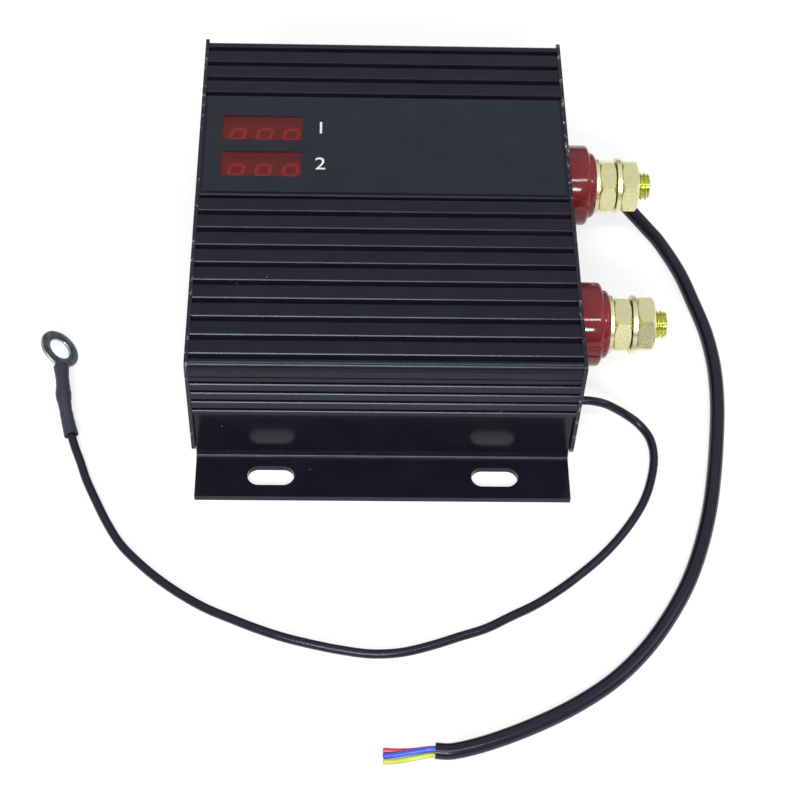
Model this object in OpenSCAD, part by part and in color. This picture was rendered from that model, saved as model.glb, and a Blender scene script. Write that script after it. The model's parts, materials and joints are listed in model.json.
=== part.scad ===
// Battery isolator relay: two ribbed aluminium extrusions closed by flat end plates, two brass
// power studs in red insulating bushings, a two-row voltage display under the lid, and inside
// it a contactor with a hinged armature that bridges the two studs.
// X runs towards the power studs, Y towards the back and Z up. The origin is the centre of the
// four mounting slots, on the mounting surface.

/* [Housing] */
// Length of the two extrusions between the end plates
case_l = 100.2; // [99:0.2:130]
// Depth over the lands of the long sides
case_d = 118.4; // [118:0.2:150]
// Height of the lid's lands above the mounting surface
case_h = 43.35; // [43:0.05:50]
// Thickness of the base's long walls at their lands
wall_t = 3.6; // [3.2:0.1:4.4]
// Step in from the lands to the smooth lower wall
wall_recess = 1.4; // [0.8:0.1:1.8]
// Height of the smooth lower wall above the mounting surface
recess_h = 22.1; // [19:0.1:23]
// Thickness of the base's floor
floor_t = 2.0; // [1.6:0.1:2.4]
// Free height of the channel under the floor
channel_h = 4.6; // [4.4:0.1:4.8]
// Thickness of the lid's plate at its lands
lid_t = 3.2; // [2.8:0.1:3.6]
// Height of the lid's skirt, from its lands down to the seam
skirt_h = 4.95; // [4.3:0.05:5.3]
// Height of the open seam between lid and base
seam_gap = 0.4; // [0.2:0.05:0.6]
// Radius of the lid's long edges
lid_edge_r = 2.7; // [1.5:0.1:3.1]
// Thickness of the lid's tongues, which locate it inside the base
tongue_t = 1.3; // [1:0.1:1.8]
// Reach of the tongues below the lid's plate
tongue_h = 4.6; // [3.6:0.1:5]
// Clearance between the tongues and the base's walls
tongue_gap = 0.3; // [0.2:0.05:0.5]

/* [Ribs] */
// Pitch of the grooves across the lid
rib_pitch = 6.07; // [5:0.01:7.5]
// Width of the lid's grooves
groove_w = 1.65; // [1:0.05:2.2]
// Depth of the lid's grooves
groove_depth = 1.35; // [0.8:0.05:1.7]
// Chamfer on the edges of the lands
land_chamfer = 0.2; // [0.1:0.05:0.4]
// First groove's centre from the lid's front edge
front_land = 2.9; // [2.8:0.1:4]
// Last groove's centre from the lid's back edge
back_land = 3.95; // [3:0.05:4.5]
// Start of the flat label field from the lid's front edge
field_from = 58.2; // [50:0.1:64]
// Depth of the flat label field
field_w = 37.4; // [36:0.1:42]
// Width of the narrow groove along the front of the label field
field_groove_w = 1.15; // [0.8:0.05:1.6]
// Pitch of the grooves down the long sides
side_pitch = 3.82; // [3:0.01:5]
// Width of the side grooves
side_groove_w = 1.1; // [0.6:0.05:1.4]
// Depth of the side grooves
side_groove_depth = 1.1; // [0.6:0.05:1.4]
// First side groove's centre below the lid's lands
side_first = 7.65; // [7.2:0.05:8]

/* [Mounting flanges] */
// Reach of a flange past the smooth lower wall
flange_reach = 13.5; // [12:0.1:20]
// Thickness of the flanges
flange_t = 1.85; // [1.5:0.05:2.5]
// Fillet between a flange and its wall
flange_fillet = 1.5; // [0.6:0.1:2]
// Width of the mounting slots
slot_w = 6.0; // [4.5:0.1:7]
// Length of the mounting slots, end to end
slot_l = 12.5; // [9:0.1:18]
// Centre distance of the slots along a flange
slot_pitch = 60; // [40:0.5:80]

/* [End plates] */
// Thickness of the end plates
plate_t = 1.0; // [0.8:0.1:1.6]
// How far the plates stand proud of the extrusions
plate_proud = 0.3; // [0:0.1:0.8]
// Corner radius of the plates
plate_corner_r = 1.3; // [0.5:0.1:2]
// Height of the plates' lower edge above the underside of the floor
plate_rise = 1.3; // [0.6:0.1:1.5]
// Shank diameter of the end plate screws
screw_d = 2.8; // [2.4:0.1:3]
// Length of the screws' shanks behind the plate
screw_l = 8; // [6:0.5:12]
// Head diameter of the countersunk screws
screw_head_d = 5.2; // [4.6:0.1:5.6]
// Radius of the screw ports in the extrusions
port_r = 3.0; // [2.7:0.1:3.3]

/* [Power terminals] */
// Distance between the two studs
stud_spacing = 51.5; // [46:0.5:60]
// Height of the studs above the mounting surface
stud_h = 19.55; // [18.8:0.05:21]
// Diameter of the studs
stud_d = 8; // [6:0.1:9]
// Reach of the studs past the end plate
stud_reach = 26.2; // [25.8:0.1:32]
// Diameter of the insulating bushings
bushing_d = 23; // [20:0.1:24]
// Length of the bushings' wide part
bushing_l = 8; // [6:0.1:8.4]
// Diameter of the bushings' collar
collar_d = 18.8; // [16:0.1:20]
// Length of the collar
collar_l = 2.2; // [1:0.1:2.4]
// Thickness of the washer on the bushing
seat_washer_t = 0.9; // [0.6:0.1:1.2]
// Outer diameter of the washers
washer_d = 16; // [13:0.1:17.5]
// Thickness of the washer under the outer nut
washer_t = 1.2; // [0.8:0.1:1.6]
// Width across the flats of the nuts
nut_af = 14; // [12.5:0.1:16]
// Thickness of the nuts
nut_t = 5; // [4:0.1:5.2]
// Clocking of the inner nut on the front and the rear stud, in degrees
inner_nut_turn = [9, 19]; // [0:1:60]
// Clocking of the outer nut on the front and the rear stud, in degrees
outer_nut_turn = [3, 17]; // [0:1:60]

/* [Display] */
// Length of a display window
window_l = 22.2; // [18:0.1:26]
// Depth of a display window
window_w = 9.2; // [7:0.1:10]
// Distance between the two windows' centres
window_pitch = 13.6; // [13:0.1:15]
// Centre of the windows from the left end of the lid
window_from_end = 16.4; // [15:0.1:24]
// Centre of the front window from the label field's edge
window_from_field = 10.95; // [9:0.05:11.5]
// Thickness of the label
label_t = 0.3; // [0.2:0.05:0.5]
// Thickness of the red window filters
filter_t = 1.2; // [0.8:0.1:1.6]
// Length of a display module
display_l = 21.5; // [19:0.1:24]
// Depth of a display module
display_w = 12.4; // [10:0.1:12.6]
// Height of a display module
display_h = 7.0; // [6:0.1:7.6]

/* [Circuit board] */
// Length of the board
board_l = 62; // [56:0.5:64]
// Thickness of the board
board_t = 1.6; // [1.2:0.1:2]
// Depth of the board's underside below the lid's lands
board_drop = 13.65; // [13.35:0.05:13.95]
// Gap between the board's edges and the base's walls
board_gap = 0.4; // [0.3:0.1:0.6]

/* [Contactor] */
// Distance from the end plate to the coil's axis
coil_from_plate = 49.1; // [47:0.1:51]
// Diameter of the iron core
core_d = 7; // [5:0.1:7.4]
// Diameter of the winding
winding_d = 16; // [13:0.1:17]
// Diameter of the bobbin's flanges
bobbin_d = 17; // [14:0.1:18]
// Thickness of the yoke and of the armature
iron_t = 2.0; // [1.6:0.1:2.2]
// Distance from the coil's axis to the armature's hinge
hinge_reach = 15; // [14:0.1:16.5]
// Diameter of the hinge pin
hinge_pin_d = 1.8; // [1.4:0.1:2]
// Air gap between the pole and the armature
pole_gap = 1.7; // [1.6:0.05:2]
// Open gap between the contacts
contact_gap = 2.6; // [2.5:0.05:3]
// Thickness of the busbars
busbar_t = 1.8; // [1.4:0.1:2.2]
// Thickness of the block that insulates the busbars from the floor
contact_base_t = 1.6; // [1.2:0.1:2]
// Width of the busbars
busbar_w = 12; // [10:0.1:13]

/* [Cords] */
// Diameter of the earth lead
lead_d = 2.4; // [1.8:0.1:2.6]
// Diameter of the control cable
cable_d = 4.1; // [3:0.1:4.4]
// Diameter of the cable's cores
core_wire_d = 1.4; // [1:0.1:1.5]
// Diameter of the hole in the ring lug
lug_hole_d = 6.4; // [5.3:0.1:8.4]
// Outer diameter of the ring lug
lug_d = 12; // [11:0.1:12.4]
// Thickness of the ring lug
lug_t = 0.8; // [0.6:0.1:1]

/* [Hidden] */
$fn = 48;

// Overrun of every cut past the face that it opens
over = 0.5;
// Clearance of a running fit, on the radius
run_fit = 0.05;
// Clearance of a piece dropped into its seat
seat_gap = 0.1;

// Levels and half widths of the housing
half_d = case_d / 2;
inner_y = half_d - wall_t;
lower_y = half_d - wall_recess;
floor_top = channel_h + floor_t;
lid_under = case_h - lid_t;
board_h = case_h - board_drop;
skirt_z = case_h - skirt_h;
wall_top = skirt_z - seam_gap;
field_y = -half_d + field_from;
label_margin = 0.65;
label_end_margin = 0.8;
label_top = case_h + label_t;

// Screw ports, which run the whole length of the extrusions
port_inset = 2.7;
base_port = [inner_y - port_inset, floor_top + port_inset];
tongue_y = inner_y - tongue_gap - tongue_t;
lid_port = [tongue_y - port_inset, lid_under - port_inset];

// Card guides for the circuit board
guide_reach = 2.0;
guide_t = 1.4;
guide_gap = 0.3;

// End plates
plate_x = case_l / 2;
plate_bottom = channel_h + plate_rise;
plate_top = case_h + plate_proud;
plate_half_d = half_d + plate_proud;
right_face = plate_x + plate_t;

// Mounting slots
slot_y = lower_y + flange_reach / 2;

// Power terminals, as distances along the stud from the right end plate's outer face
stud_ys = [-stud_spacing / 2, stud_spacing / 2];
seat_washer_at = bushing_l + collar_l;
stack_gap = 0.1;
inner_nut_at = seat_washer_at + seat_washer_t + stack_gap;
washer_at = inner_nut_at + nut_t + stack_gap;
outer_nut_at = washer_at + washer_t + stack_gap;
free_end_at = outer_nut_at + nut_t;
bushing_round = 1.6;
collar_round = 0.9;
spigot_d = 14;
insulator_d = 21;
insulator_t = 1.8;
stud_head_t = 4.4;
stud_head_af = 13;
stud_chamfer = 0.7;
// Drawn diameter of the thread inside the nuts, midway between its crests and roots
thread_mean_d = stud_d * 0.9;
nut_bore_d = stud_d + 2 * run_fit;
washer_bore_d = stud_d + 4 * seat_gap;
nut_chamfer = 0.95;
nut_chamfer_share = 0.94;

// Display windows
window_x = -plate_x + window_from_end;
window_ys = [field_y + window_from_field, field_y + window_from_field + window_pitch];
filter_margin = 0.8;
module_top = board_h + board_t + display_h;

// Circuit board
board_x = -plate_x + 0.8 * plate_t;
board_top = board_h + board_t;
board_half_w = inner_y - board_gap;

// Connectors under the board
connector_l = 8;
connector_w = 9;
connector_h = 6.6;
connector_inset = 1.9;
connector_x = board_x + board_l - connector_inset;
connector_y = 44;
wire_entry_h = board_h - 0.55 * connector_h;

// Contactor
hinge_drop = 3.3;
plate_drop = 0.9;
coil_x = plate_x - coil_from_plate;
hinge_x = coil_x - hinge_reach;
hinge_z = board_h - hinge_drop;
armature_z = hinge_z - plate_drop;
pole_z = armature_z - pole_gap;
pole_rim = 1.0;
pole_d = core_d + 2 * pole_rim;
pole_t = 1.2;
core_step = 1.0;
core_foot_d = core_d - 2 * core_step;
yoke_w = 20;
plate_w = 18;
ear_t = 2.5;
ear_r = 1.9;
knuckle_gap = 0.3;
spring_reach = 4.5;
spring_x = hinge_x - spring_reach;
spring_r = 1.6;
spring_wire_d = 0.5;
spring_turns = 9;
spring_end_gap = 0.3;
yoke_tail = 2.6;
bobbin_flange_t = 0.9;
bobbin_wall = 0.7;
pin_y = 11.6;
coil_pin_d = 1.0;
busbar_z = floor_top + contact_base_t;
busbar_top = busbar_z + busbar_t;
contact_reach = 15;
contact_x = coil_x + contact_reach;
contact_y = 12.5;
contact_d = 5.2;
contact_t = 0.8;
contact_post_d = 6.6;
bridge_w = 7;
bridge_t = 1.5;
bridge_l = 34;
carrier_w = 18;
carrier_l = 9;
carrier_share = 0.142;
carrier_h = (armature_z - busbar_top) * carrier_share;
bridge_z = armature_z - carrier_h - bridge_t;
rivet_d = 2;
rivet_head_d = 3.8;
rivet_head_t = 0.8;
rivet_y = 5;
fixed_top = bridge_z - contact_t - contact_gap;
busbar_arm = 8;
tab_x = plate_x - insulator_t;
tab_rise = 7.5;
relay_screw_d = 3;
relay_head_d = 4.6;
relay_head_t = 1.6;
relay_screw_y = 7.4;
yoke_toe = contact_reach - busbar_arm / 2 - 3 * seat_gap;
relay_toe_x = yoke_toe - relay_head_d / 2 - seat_gap;

// Grommets, as places on the right end plate
lead_exit = [-45.5, 11];
cable_exit = [40.5, 11.5];
grommet_lip = 1.1;
grommet_wall = 0.9;
grommet_rim = 1.15;

// Route of the earth lead along its centre line, from the grommet to the sleeve
lead_route = [
    [52.2, -45.5, 11], [56, -45.5, 11], [60, -45.5, 9.8], [63.5, -45.3, 7.2], [67, -45.5, 4.4],
    [70.5, -47, 2.2], [73.2, -51, 1.3], [73.8, -57, 1.2], [72.5, -64, 1.2], [70, -71, 1.2],
    [66.3, -77.5, 1.2], [61.5, -84, 1.2], [56.5, -89.5, 1.2], [51, -94.5, 1.2], [45.5, -99, 1.2],
    [39, -103.5, 1.2], [32.5, -107, 1.2], [26, -110.5, 1.2], [19, -113, 1.2], [12, -115.5, 1.2],
    [4.5, -117.5, 1.2], [-3, -118, 1.2], [-10.5, -117, 1.2], [-17.5, -115.5, 1.2],
    [-25, -113.5, 1.2], [-32, -111, 1.2], [-39, -108, 1.2], [-45.5, -105, 1.2],
    [-52, -101, 1.2], [-58, -96.5, 1.2], [-63.5, -91.5, 1.2], [-68.5, -86, 1.2],
    [-72.5, -79.5, 1.2], [-76, -72.5, 1.2], [-79, -66, 1.2], [-81, -60.5, 1.3],
    [-82.8, -56, 1.6], [-84.2, -52, 2]];
// Route of the heat-shrink sleeve, from the lead to the ring lug
sleeve_route = [
    [-84.2, -52, 2], [-85.5, -47.5, 2.7], [-86.5, -43.5, 3.5], [-87.2, -40, 4.1],
    [-87.6, -37, 4.2], [-88.1, -34, 4.2], [-88.7, -30.4, 4.2]];
// Width of the sleeve at each of its route's points, as shares of the lug's thickness
sleeve_width_shares = [4.9, 4.5, 4.3, 5.9, 4.9, 4.7, 4.7];
// Route of the control cable, from the grommet to the cut end of its sheath
cable_route = [
    [52.2, 40.5, 11.5], [57, 40.5, 11.5], [62, 39.5, 10.5], [67, 37, 8.2], [71.5, 33, 5.5],
    [76, 28.5, 3.3], [79.5, 24, 2.3], [82.5, 19, 2.1], [87, 8, 2.1], [90, -3.5, 2.1],
    [92.5, -15, 2.1], [93.5, -27, 2.1], [93, -39, 2.1], [91.5, -51, 2.1], [89.5, -63, 2.1],
    [87, -74.5, 2.1], [83.5, -86, 2.1], [79, -97, 2.1], [73, -107.5, 2.1], [66, -117, 2.1],
    [57.5, -125.5, 2.1], [47.5, -132.5, 2.1], [37, -138, 2.1], [26, -142.5, 2.1],
    [17, -145, 2.1], [12.2, -145, 2.1]];
// Routes of the three cores, from the sheath's cut end to their tips
red_route = [
    [12.2, -144.2, 1.6], [10.8, -144.2, 1.6], [7, -144.5, 1.1], [3, -144.5, 0.8], [-0.5, -144.3, 0.7]];
blue_route = [
    [12.2, -145, 2.9], [10.8, -145, 2.9], [7, -145.4, 2.3], [3, -145.7, 1.4], [-0.5, -145.8, 0.7]];
yellow_route = [
    [12.2, -145.9, 1.6], [10.8, -145.9, 1.6], [7, -146.5, 1.1], [3, -147.1, 0.8], [-0.5, -147.3, 0.7]];
// The way of a wire inside the housing, as shares of its run in X, Y and Z from grommet to connector
inside_shares = [
    [0, 0, 0], [0.125, 0, 0], [0.295, 0.07, 0.05], [0.49, 0.33, 0.23], [0.66, 0.47, 0.5],
    [0.79, 0.73, 0.77], [0.885, 1, 0.96], [0.965, 1, 1], [1, 1, 1]];
function inside_route(from, to) =
    [for (s = inside_shares) [for (k = [0 : 2]) from[k] + (to[k] - from[k]) * s[k]]];
earth_inside_route = inside_route(lead_route[0], [connector_x, -connector_y, wire_entry_h]);
control_inside_route = inside_route(cable_route[0], [connector_x, connector_y, wire_entry_h]);
// Place, roll about its own length and heading of the ring lug
lug_at = [-89.75, -24.3, 4.2];
lug_roll = 40;
lug_heading = 9.5;
lug_tongue_w = 3.2;
lug_barrel_l = 9;
lug_barrel_d = 2.8;
cord_sides = 8;

// Sweeps a round tube along a route, with one ring of points at each of its points
function unit(v) = v / norm(v);
function heading(route, i) =
    let (last = len(route) - 1)
    i == 0 ? unit(route[1] - route[0])
    : i == last ? unit(route[last] - route[last - 1])
    : unit(unit(route[i] - route[i - 1]) + unit(route[i + 1] - route[i]));
function ring(centre, ahead, r, sides) =
    let (side = unit(cross(ahead, [0, 0, 1])), up = cross(side, ahead))
    [for (k = [0 : sides - 1])
        let (a = (k + 0.5) * 360 / sides)
        centre + r * (cos(a) * side + sin(a) * up)];
function tube_points(route, radii, sides) =
    [for (i = [0 : len(route) - 1]) each ring(route[i], heading(route, i), radii[i], sides)];
function tube_sides(rings, sides) =
    [for (i = [0 : rings - 2], k = [0 : sides - 1])
        let (a = i * sides + k, b = i * sides + (k + 1) % sides)
        each [[a, b, b + sides], [a, b + sides, a + sides]]];
function tube_ends(rings, sides) =
    let (last = (rings - 1) * sides)
    concat([for (k = [1 : sides - 2]) [0, k + 1, k]],
        [for (k = [1 : sides - 2]) [last, last + k, last + k + 1]]);

module tube(route, radii, sides) {
    polyhedron(
        points = tube_points(route, radii, sides),
        faces = concat(tube_sides(len(route), sides), tube_ends(len(route), sides)));
}

module cord(route, diameter) {
    tube(route, [for (p = route) diameter / 2], cord_sides);
}

// Extrudes a section drawn in Y and Z along X, from x = from to x = from + length
module along_x(from, length) {
    translate([from, 0, 0]) rotate([90, 0, 90]) linear_extrude(height = length) children();
}

// A cylinder along X that starts at x = from
module rod_x(from, length, diameter) {
    translate([from, 0, 0]) rotate([0, 90, 0]) cylinder(d = diameter, h = length);
}

// A block given by its lowest corner and its highest corner
module block(low, high) {
    translate(low) cube(high - low);
}

module rounded_rect(low, high, r) {
    size = high - low;
    translate(low) {
        translate([r, 0]) square([size[0] - 2 * r, size[1]]);
        translate([0, r]) square([size[0], size[1] - 2 * r]);
        for (u = [r, size[0] - r], v = [r, size[1] - r]) translate([u, v]) circle(r = r);
    }
}

// A groove cut down from a face at v = 0, with chamfers on the edges of its lands
module groove(width, depth) {
    w = width / 2;
    c = land_chamfer;
    polygon([[-w - c - over, over], [-w - c, 0], [-w, -c], [-w, -depth],
        [w, -depth], [w, -c], [w + c, 0], [w + c + over, over]]);
}

// Centres of the grooves across the lid, as Y places
field_groove_y = field_y - field_groove_w * 0.8;
front_grooves = [for (y = [-half_d + front_land : rib_pitch : field_groove_y - 2 * groove_w]) y];
back_grooves = [for (y = [half_d - back_land : -rib_pitch : field_y + field_w]) y];
// Centres of the grooves down the long sides, as Z places
side_grooves = [for (z = [case_h - side_first : -side_pitch : recess_h + side_groove_w]) z];

// Lid

module lid_section() {
    difference() {
        union() {
            difference() {
                translate([-half_d, skirt_z]) square([case_d, skirt_h]);
                for (s = [-1, 1]) scale([s, 1])
                    translate([half_d - lid_edge_r, case_h - lid_edge_r]) difference() {
                        square([lid_edge_r + over, lid_edge_r + over]);
                        circle(r = lid_edge_r);
                    }
                translate([-tongue_y, skirt_z - over]) square([2 * tongue_y, skirt_h - lid_t + over]);
            }
            for (s = [-1, 1]) scale([s, 1]) {
                translate([tongue_y, lid_under - tongue_h]) square([tongue_t, tongue_h + over]);
                translate(lid_port) circle(r = port_r);
            }
        }
        for (y = concat(front_grooves, back_grooves))
            translate([y, case_h]) groove(groove_w, groove_depth);
        translate([field_groove_y, case_h]) groove(field_groove_w, groove_depth);
        for (s = [-1, 1]) scale([s, 1]) translate(lid_port) circle(d = screw_d + 2 * run_fit);
    }
}

module filter_opening(grow, low, high) {
    for (y = window_ys)
        block([window_x - window_l / 2 - grow, y - window_w / 2 - grow, low],
            [window_x + window_l / 2 + grow, y + window_w / 2 + grow, high]);
}

module lid_extrusion() {
    color([0.11, 0.11, 0.13]) difference() {
        along_x(-plate_x, case_l) lid_section();
        filter_opening(filter_margin + seat_gap, lid_under - over, case_h + over);
    }
}

// Base

module base_half_section() {
    translate([inner_y, recess_h]) square([wall_t, wall_top - recess_h]);
    translate([inner_y, 0]) square([lower_y - inner_y, recess_h + over]);
    translate([inner_y, 0]) square([lower_y - inner_y + flange_reach, flange_t]);
    translate([lower_y, flange_t]) difference() {
        square(flange_fillet);
        translate([flange_fillet, flange_fillet]) circle(r = flange_fillet);
    }
    translate([0, channel_h]) square([inner_y + over, floor_t]);
    for (z = [board_h - guide_gap - guide_t, board_top + guide_gap])
        translate([inner_y - guide_reach, z]) square([guide_reach + over, guide_t]);
    translate(base_port) circle(r = port_r);
}

module base_section() {
    difference() {
        for (s = [-1, 1]) scale([s, 1]) base_half_section();
        for (s = [-1, 1]) scale([s, 1]) {
            for (z = side_grooves)
                translate([half_d, z]) rotate(-90) groove(side_groove_w, side_groove_depth);
            translate(base_port) circle(d = screw_d + 2 * run_fit);
        }
    }
}

module mounting_slot() {
    run = (slot_l - slot_w) / 2;
    for (s = [-1, 1]) translate([s * run, 0, -over]) cylinder(d = slot_w, h = flange_t + 2 * over);
    block([-run, -slot_w / 2, -over], [run, slot_w / 2, flange_t + over]);
}

module base_extrusion() {
    color([0.11, 0.11, 0.13]) difference() {
        along_x(-plate_x, case_l) base_section();
        for (x = [-slot_pitch / 2, slot_pitch / 2], y = [-slot_y, slot_y])
            translate([x, y, 0]) mounting_slot();
        for (y = [-relay_screw_y, relay_screw_y]) translate([coil_x + relay_toe_x, y, channel_h - over])
            cylinder(d = relay_screw_d + 2 * run_fit, h = floor_t + 2 * over);
        translate([contact_x, 0, channel_h - over])
            cylinder(d = relay_screw_d + 2 * run_fit, h = floor_t + 2 * over);
    }
}

// End plates

module plate_blank() {
    rounded_rect([-plate_half_d, plate_bottom], [plate_half_d, plate_top], plate_corner_r);
}

// Places of the end plate screws, as Y and Z
screw_places = [for (s = [-1, 1], p = [base_port, lid_port]) [s * p[0], p[1]]];

// The conical seat of a countersunk screw, wide at x = 0 and narrow at x = -plate_t
module screw_cone(grow) {
    translate([-plate_t, 0, 0]) rotate([0, 90, 0])
        cylinder(r1 = screw_d / 2 + grow, r2 = screw_head_d / 2 + grow, h = plate_t);
}

module end_plate(holes) {
    along_x(0, plate_t) difference() {
        plate_blank();
        for (h = holes) translate([h[0], h[1]]) circle(d = h[2]);
        for (p = screw_places) translate(p) circle(d = screw_d + 2 * run_fit);
    }
}

module countersinks() {
    for (p = screw_places) translate([plate_t, p[0], p[1]]) screw_cone(run_fit);
}

module left_end_plate() {
    color([0.12, 0.12, 0.14]) translate([-plate_x, 0, 0]) mirror([1, 0, 0]) difference() {
        end_plate([]);
        countersinks();
    }
}

module right_end_plate() {
    color([0.12, 0.12, 0.14]) translate([plate_x, 0, 0]) difference() {
        end_plate([
            [stud_ys[0], stud_h, spigot_d + 2 * seat_gap],
            [stud_ys[1], stud_h, spigot_d + 2 * seat_gap],
            [lead_exit[0], lead_exit[1], lead_d + 2 * grommet_wall + 2 * run_fit],
            [cable_exit[0], cable_exit[1], cable_d + 2 * grommet_wall + 2 * run_fit]]);
        countersinks();
    }
}

// Countersunk screw along X with a cross recess, its head's top at x = 0
module end_plate_screw() {
    recess_w = screw_d / 4;
    recess_l = screw_head_d * 0.6;
    recess_depth = plate_t * 0.7;
    difference() {
        union() {
            screw_cone(0);
            rod_x(-plate_t - screw_l, screw_l + plate_t / 2, screw_d);
        }
        for (a = [0, 90]) rotate([a, 0, 0])
            block([-recess_depth, -recess_l / 2, -recess_w / 2], [over, recess_l / 2, recess_w / 2]);
    }
}

module end_plate_screws() {
    color([0.1, 0.1, 0.11]) for (p = screw_places) {
        translate([right_face, p[0], p[1]]) end_plate_screw();
        translate([-right_face, p[0], p[1]]) mirror([1, 0, 0]) end_plate_screw();
    }
}

// Label, windows and displays

module face_label() {
    color([0.05, 0.05, 0.06]) difference() {
        block([-plate_x + label_end_margin, field_y + label_margin, case_h],
            [plate_x - label_end_margin, field_y + field_w - label_margin, label_top]);
        filter_opening(0, case_h - over, label_top + over);
    }
}

module window_filter(y) {
    half = [window_l / 2 + filter_margin, window_w / 2 + filter_margin];
    color([0.5, 0.03, 0.03, 0.7]) block([window_x - half[0], y - half[1], case_h - filter_t],
        [window_x + half[0], y + half[1], case_h]);
}

module display_module(y) {
    bezel = 0.5;
    color([0.07, 0.07, 0.07]) difference() {
        block([window_x - display_l / 2, y - display_w / 2, board_top],
            [window_x + display_l / 2, y + display_w / 2, module_top]);
        block([window_x - display_l / 2 + bezel, y - display_w / 2 + bezel, module_top - bezel / 2],
            [window_x + display_l / 2 - bezel, y + display_w / 2 - bezel, module_top + over]);
    }
}

// Circuit board and what it carries

module circuit_board() {
    color([0.05, 0.3, 0.12]) difference() {
        block([board_x, -board_half_w, board_h], [board_x + board_l, board_half_w, board_top]);
        for (s = [-1, 1]) translate([coil_x, s * pin_y, board_h - over])
            cylinder(d = coil_pin_d + 2 * seat_gap, h = board_t + 2 * over);
    }
}

module controller_chip() {
    chip_w = 10;
    chip_t = 1.5;
    chip_at = [board_x + 0.68 * board_l, -0.24 * board_half_w];
    lead_w = 0.5;
    lead_reach = 1;
    lead_t = 0.4;
    lead_pitch = 1.2;
    color([0.12, 0.12, 0.12]) translate([chip_at[0], chip_at[1], board_top]) {
        block([-chip_w / 2, -chip_w / 2, lead_t / 2], [chip_w / 2, chip_w / 2, chip_t]);
        for (a = [0 : 90 : 270], k = [-3 : 3]) rotate(a)
            translate([chip_w / 2 - lead_t, k * lead_pitch - lead_w / 2, 0])
                cube([lead_reach + lead_t, lead_w, lead_t]);
    }
}

// Two electrolytic capacitors with the rolled groove near their foot
module capacitors() {
    can_d = 8;
    can_h = 7.2;
    groove_at = 1.6;
    groove_r = 0.4;
    at = [board_x + 0.84 * board_l, -0.59 * board_half_w];
    color([0.16, 0.18, 0.24]) for (k = [0, 1])
        translate([at[0], at[1] - k * 1.3 * can_d, board_top]) difference() {
            cylinder(d = can_d, h = can_h);
            rotate_extrude() translate([can_d / 2, groove_at]) circle(r = groove_r);
        }
}

module voltage_regulator() {
    body = [10, 9, 4.4];
    tab_l = 6;
    tab_t = 1.3;
    tab_hole_d = 3.6;
    at = [board_x + 0.3 * board_l, -0.6 * board_half_w];
    color([0.2, 0.2, 0.2]) translate([at[0], at[1], board_top]) difference() {
        union() {
            block([-body[0] / 2, 0, 0], [body[0] / 2, body[1], body[2]]);
            block([-body[0] / 2, -tab_l, 0], [body[0] / 2, over, tab_t]);
        }
        translate([0, -tab_l / 2, -over]) cylinder(d = tab_hole_d, h = tab_t + 2 * over);
    }
}

// Plug-in connector under the board that takes a wire from the right
module board_connector(y) {
    key_w = connector_w / 3;
    key_t = connector_h / 8;
    color([0.9, 0.88, 0.8]) translate([connector_x, y, board_h]) difference() {
        block([-connector_l, -connector_w / 2, -connector_h], [0, connector_w / 2, 0]);
        block([-connector_l / 2, -key_w / 2, -connector_h - over],
            [over, key_w / 2, key_t - connector_h]);
    }
}

module earth_connector() {
    board_connector(-connector_y);
}

module control_connector() {
    board_connector(connector_y);
}

// Contactor

// Steel yoke: foot on the floor, upright limb, two ears that hold the hinge pin
module relay_yoke() {
    limb_x = hinge_x - iron_t / 2;
    limb_top = hinge_z - ear_r - knuckle_gap;
    color([0.6, 0.61, 0.63]) difference() {
        union() {
            block([spring_x - yoke_tail, -yoke_w / 2, floor_top],
                [coil_x + yoke_toe, yoke_w / 2, floor_top + iron_t]);
            block([limb_x, -yoke_w / 2, floor_top], [limb_x + iron_t, yoke_w / 2, limb_top]);
            for (s = [-1, 1]) translate([0, s * (yoke_w - ear_t) / 2, 0]) {
                block([limb_x, -ear_t / 2, limb_top - over], [limb_x + iron_t, ear_t / 2, hinge_z]);
                translate([hinge_x, ear_t / 2, hinge_z]) rotate([90, 0, 0])
                    cylinder(r = ear_r, h = ear_t);
            }
        }
        translate([hinge_x, yoke_w / 2 + over, hinge_z]) rotate([90, 0, 0])
            cylinder(d = hinge_pin_d, h = yoke_w + 2 * over);
        translate([coil_x, 0, floor_top - over])
            cylinder(d = core_foot_d, h = iron_t + 2 * over);
        for (s = [-1, 1]) translate([coil_x + relay_toe_x, s * relay_screw_y, floor_top - over])
            cylinder(d = relay_screw_d + 2 * seat_gap, h = iron_t + 2 * over);
    }
}

// Iron core with a riveted foot and a wider pole at its top
module coil_core() {
    color([0.55, 0.56, 0.58]) translate([coil_x, 0, 0]) {
        translate([0, 0, floor_top]) cylinder(d = core_foot_d, h = iron_t);
        translate([0, 0, floor_top + iron_t])
            cylinder(d = core_d, h = pole_z - pole_t - floor_top - iron_t);
        translate([0, 0, pole_z - pole_t]) cylinder(d = pole_d, h = pole_t);
    }
}

bobbin_low = floor_top + iron_t;
bobbin_high = pole_z - pole_t;
bobbin_bore_d = core_d + 2 * run_fit;

module coil_bobbin() {
    lug_w = 4;
    color([0.12, 0.14, 0.2]) translate([coil_x, 0, 0]) difference() {
        union() {
            for (z = [bobbin_low, bobbin_high - bobbin_flange_t])
                translate([0, 0, z]) cylinder(d = bobbin_d, h = bobbin_flange_t);
            translate([0, 0, bobbin_low])
                cylinder(d = core_d + 2 * bobbin_wall, h = bobbin_high - bobbin_low);
            block([-lug_w / 2, -pin_y - lug_w / 2, bobbin_low],
                [lug_w / 2, pin_y + lug_w / 2, bobbin_low + bobbin_flange_t]);
        }
        translate([0, 0, bobbin_low - over])
            cylinder(d = bobbin_bore_d, h = bobbin_high - bobbin_low + 2 * over);
    }
}

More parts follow.
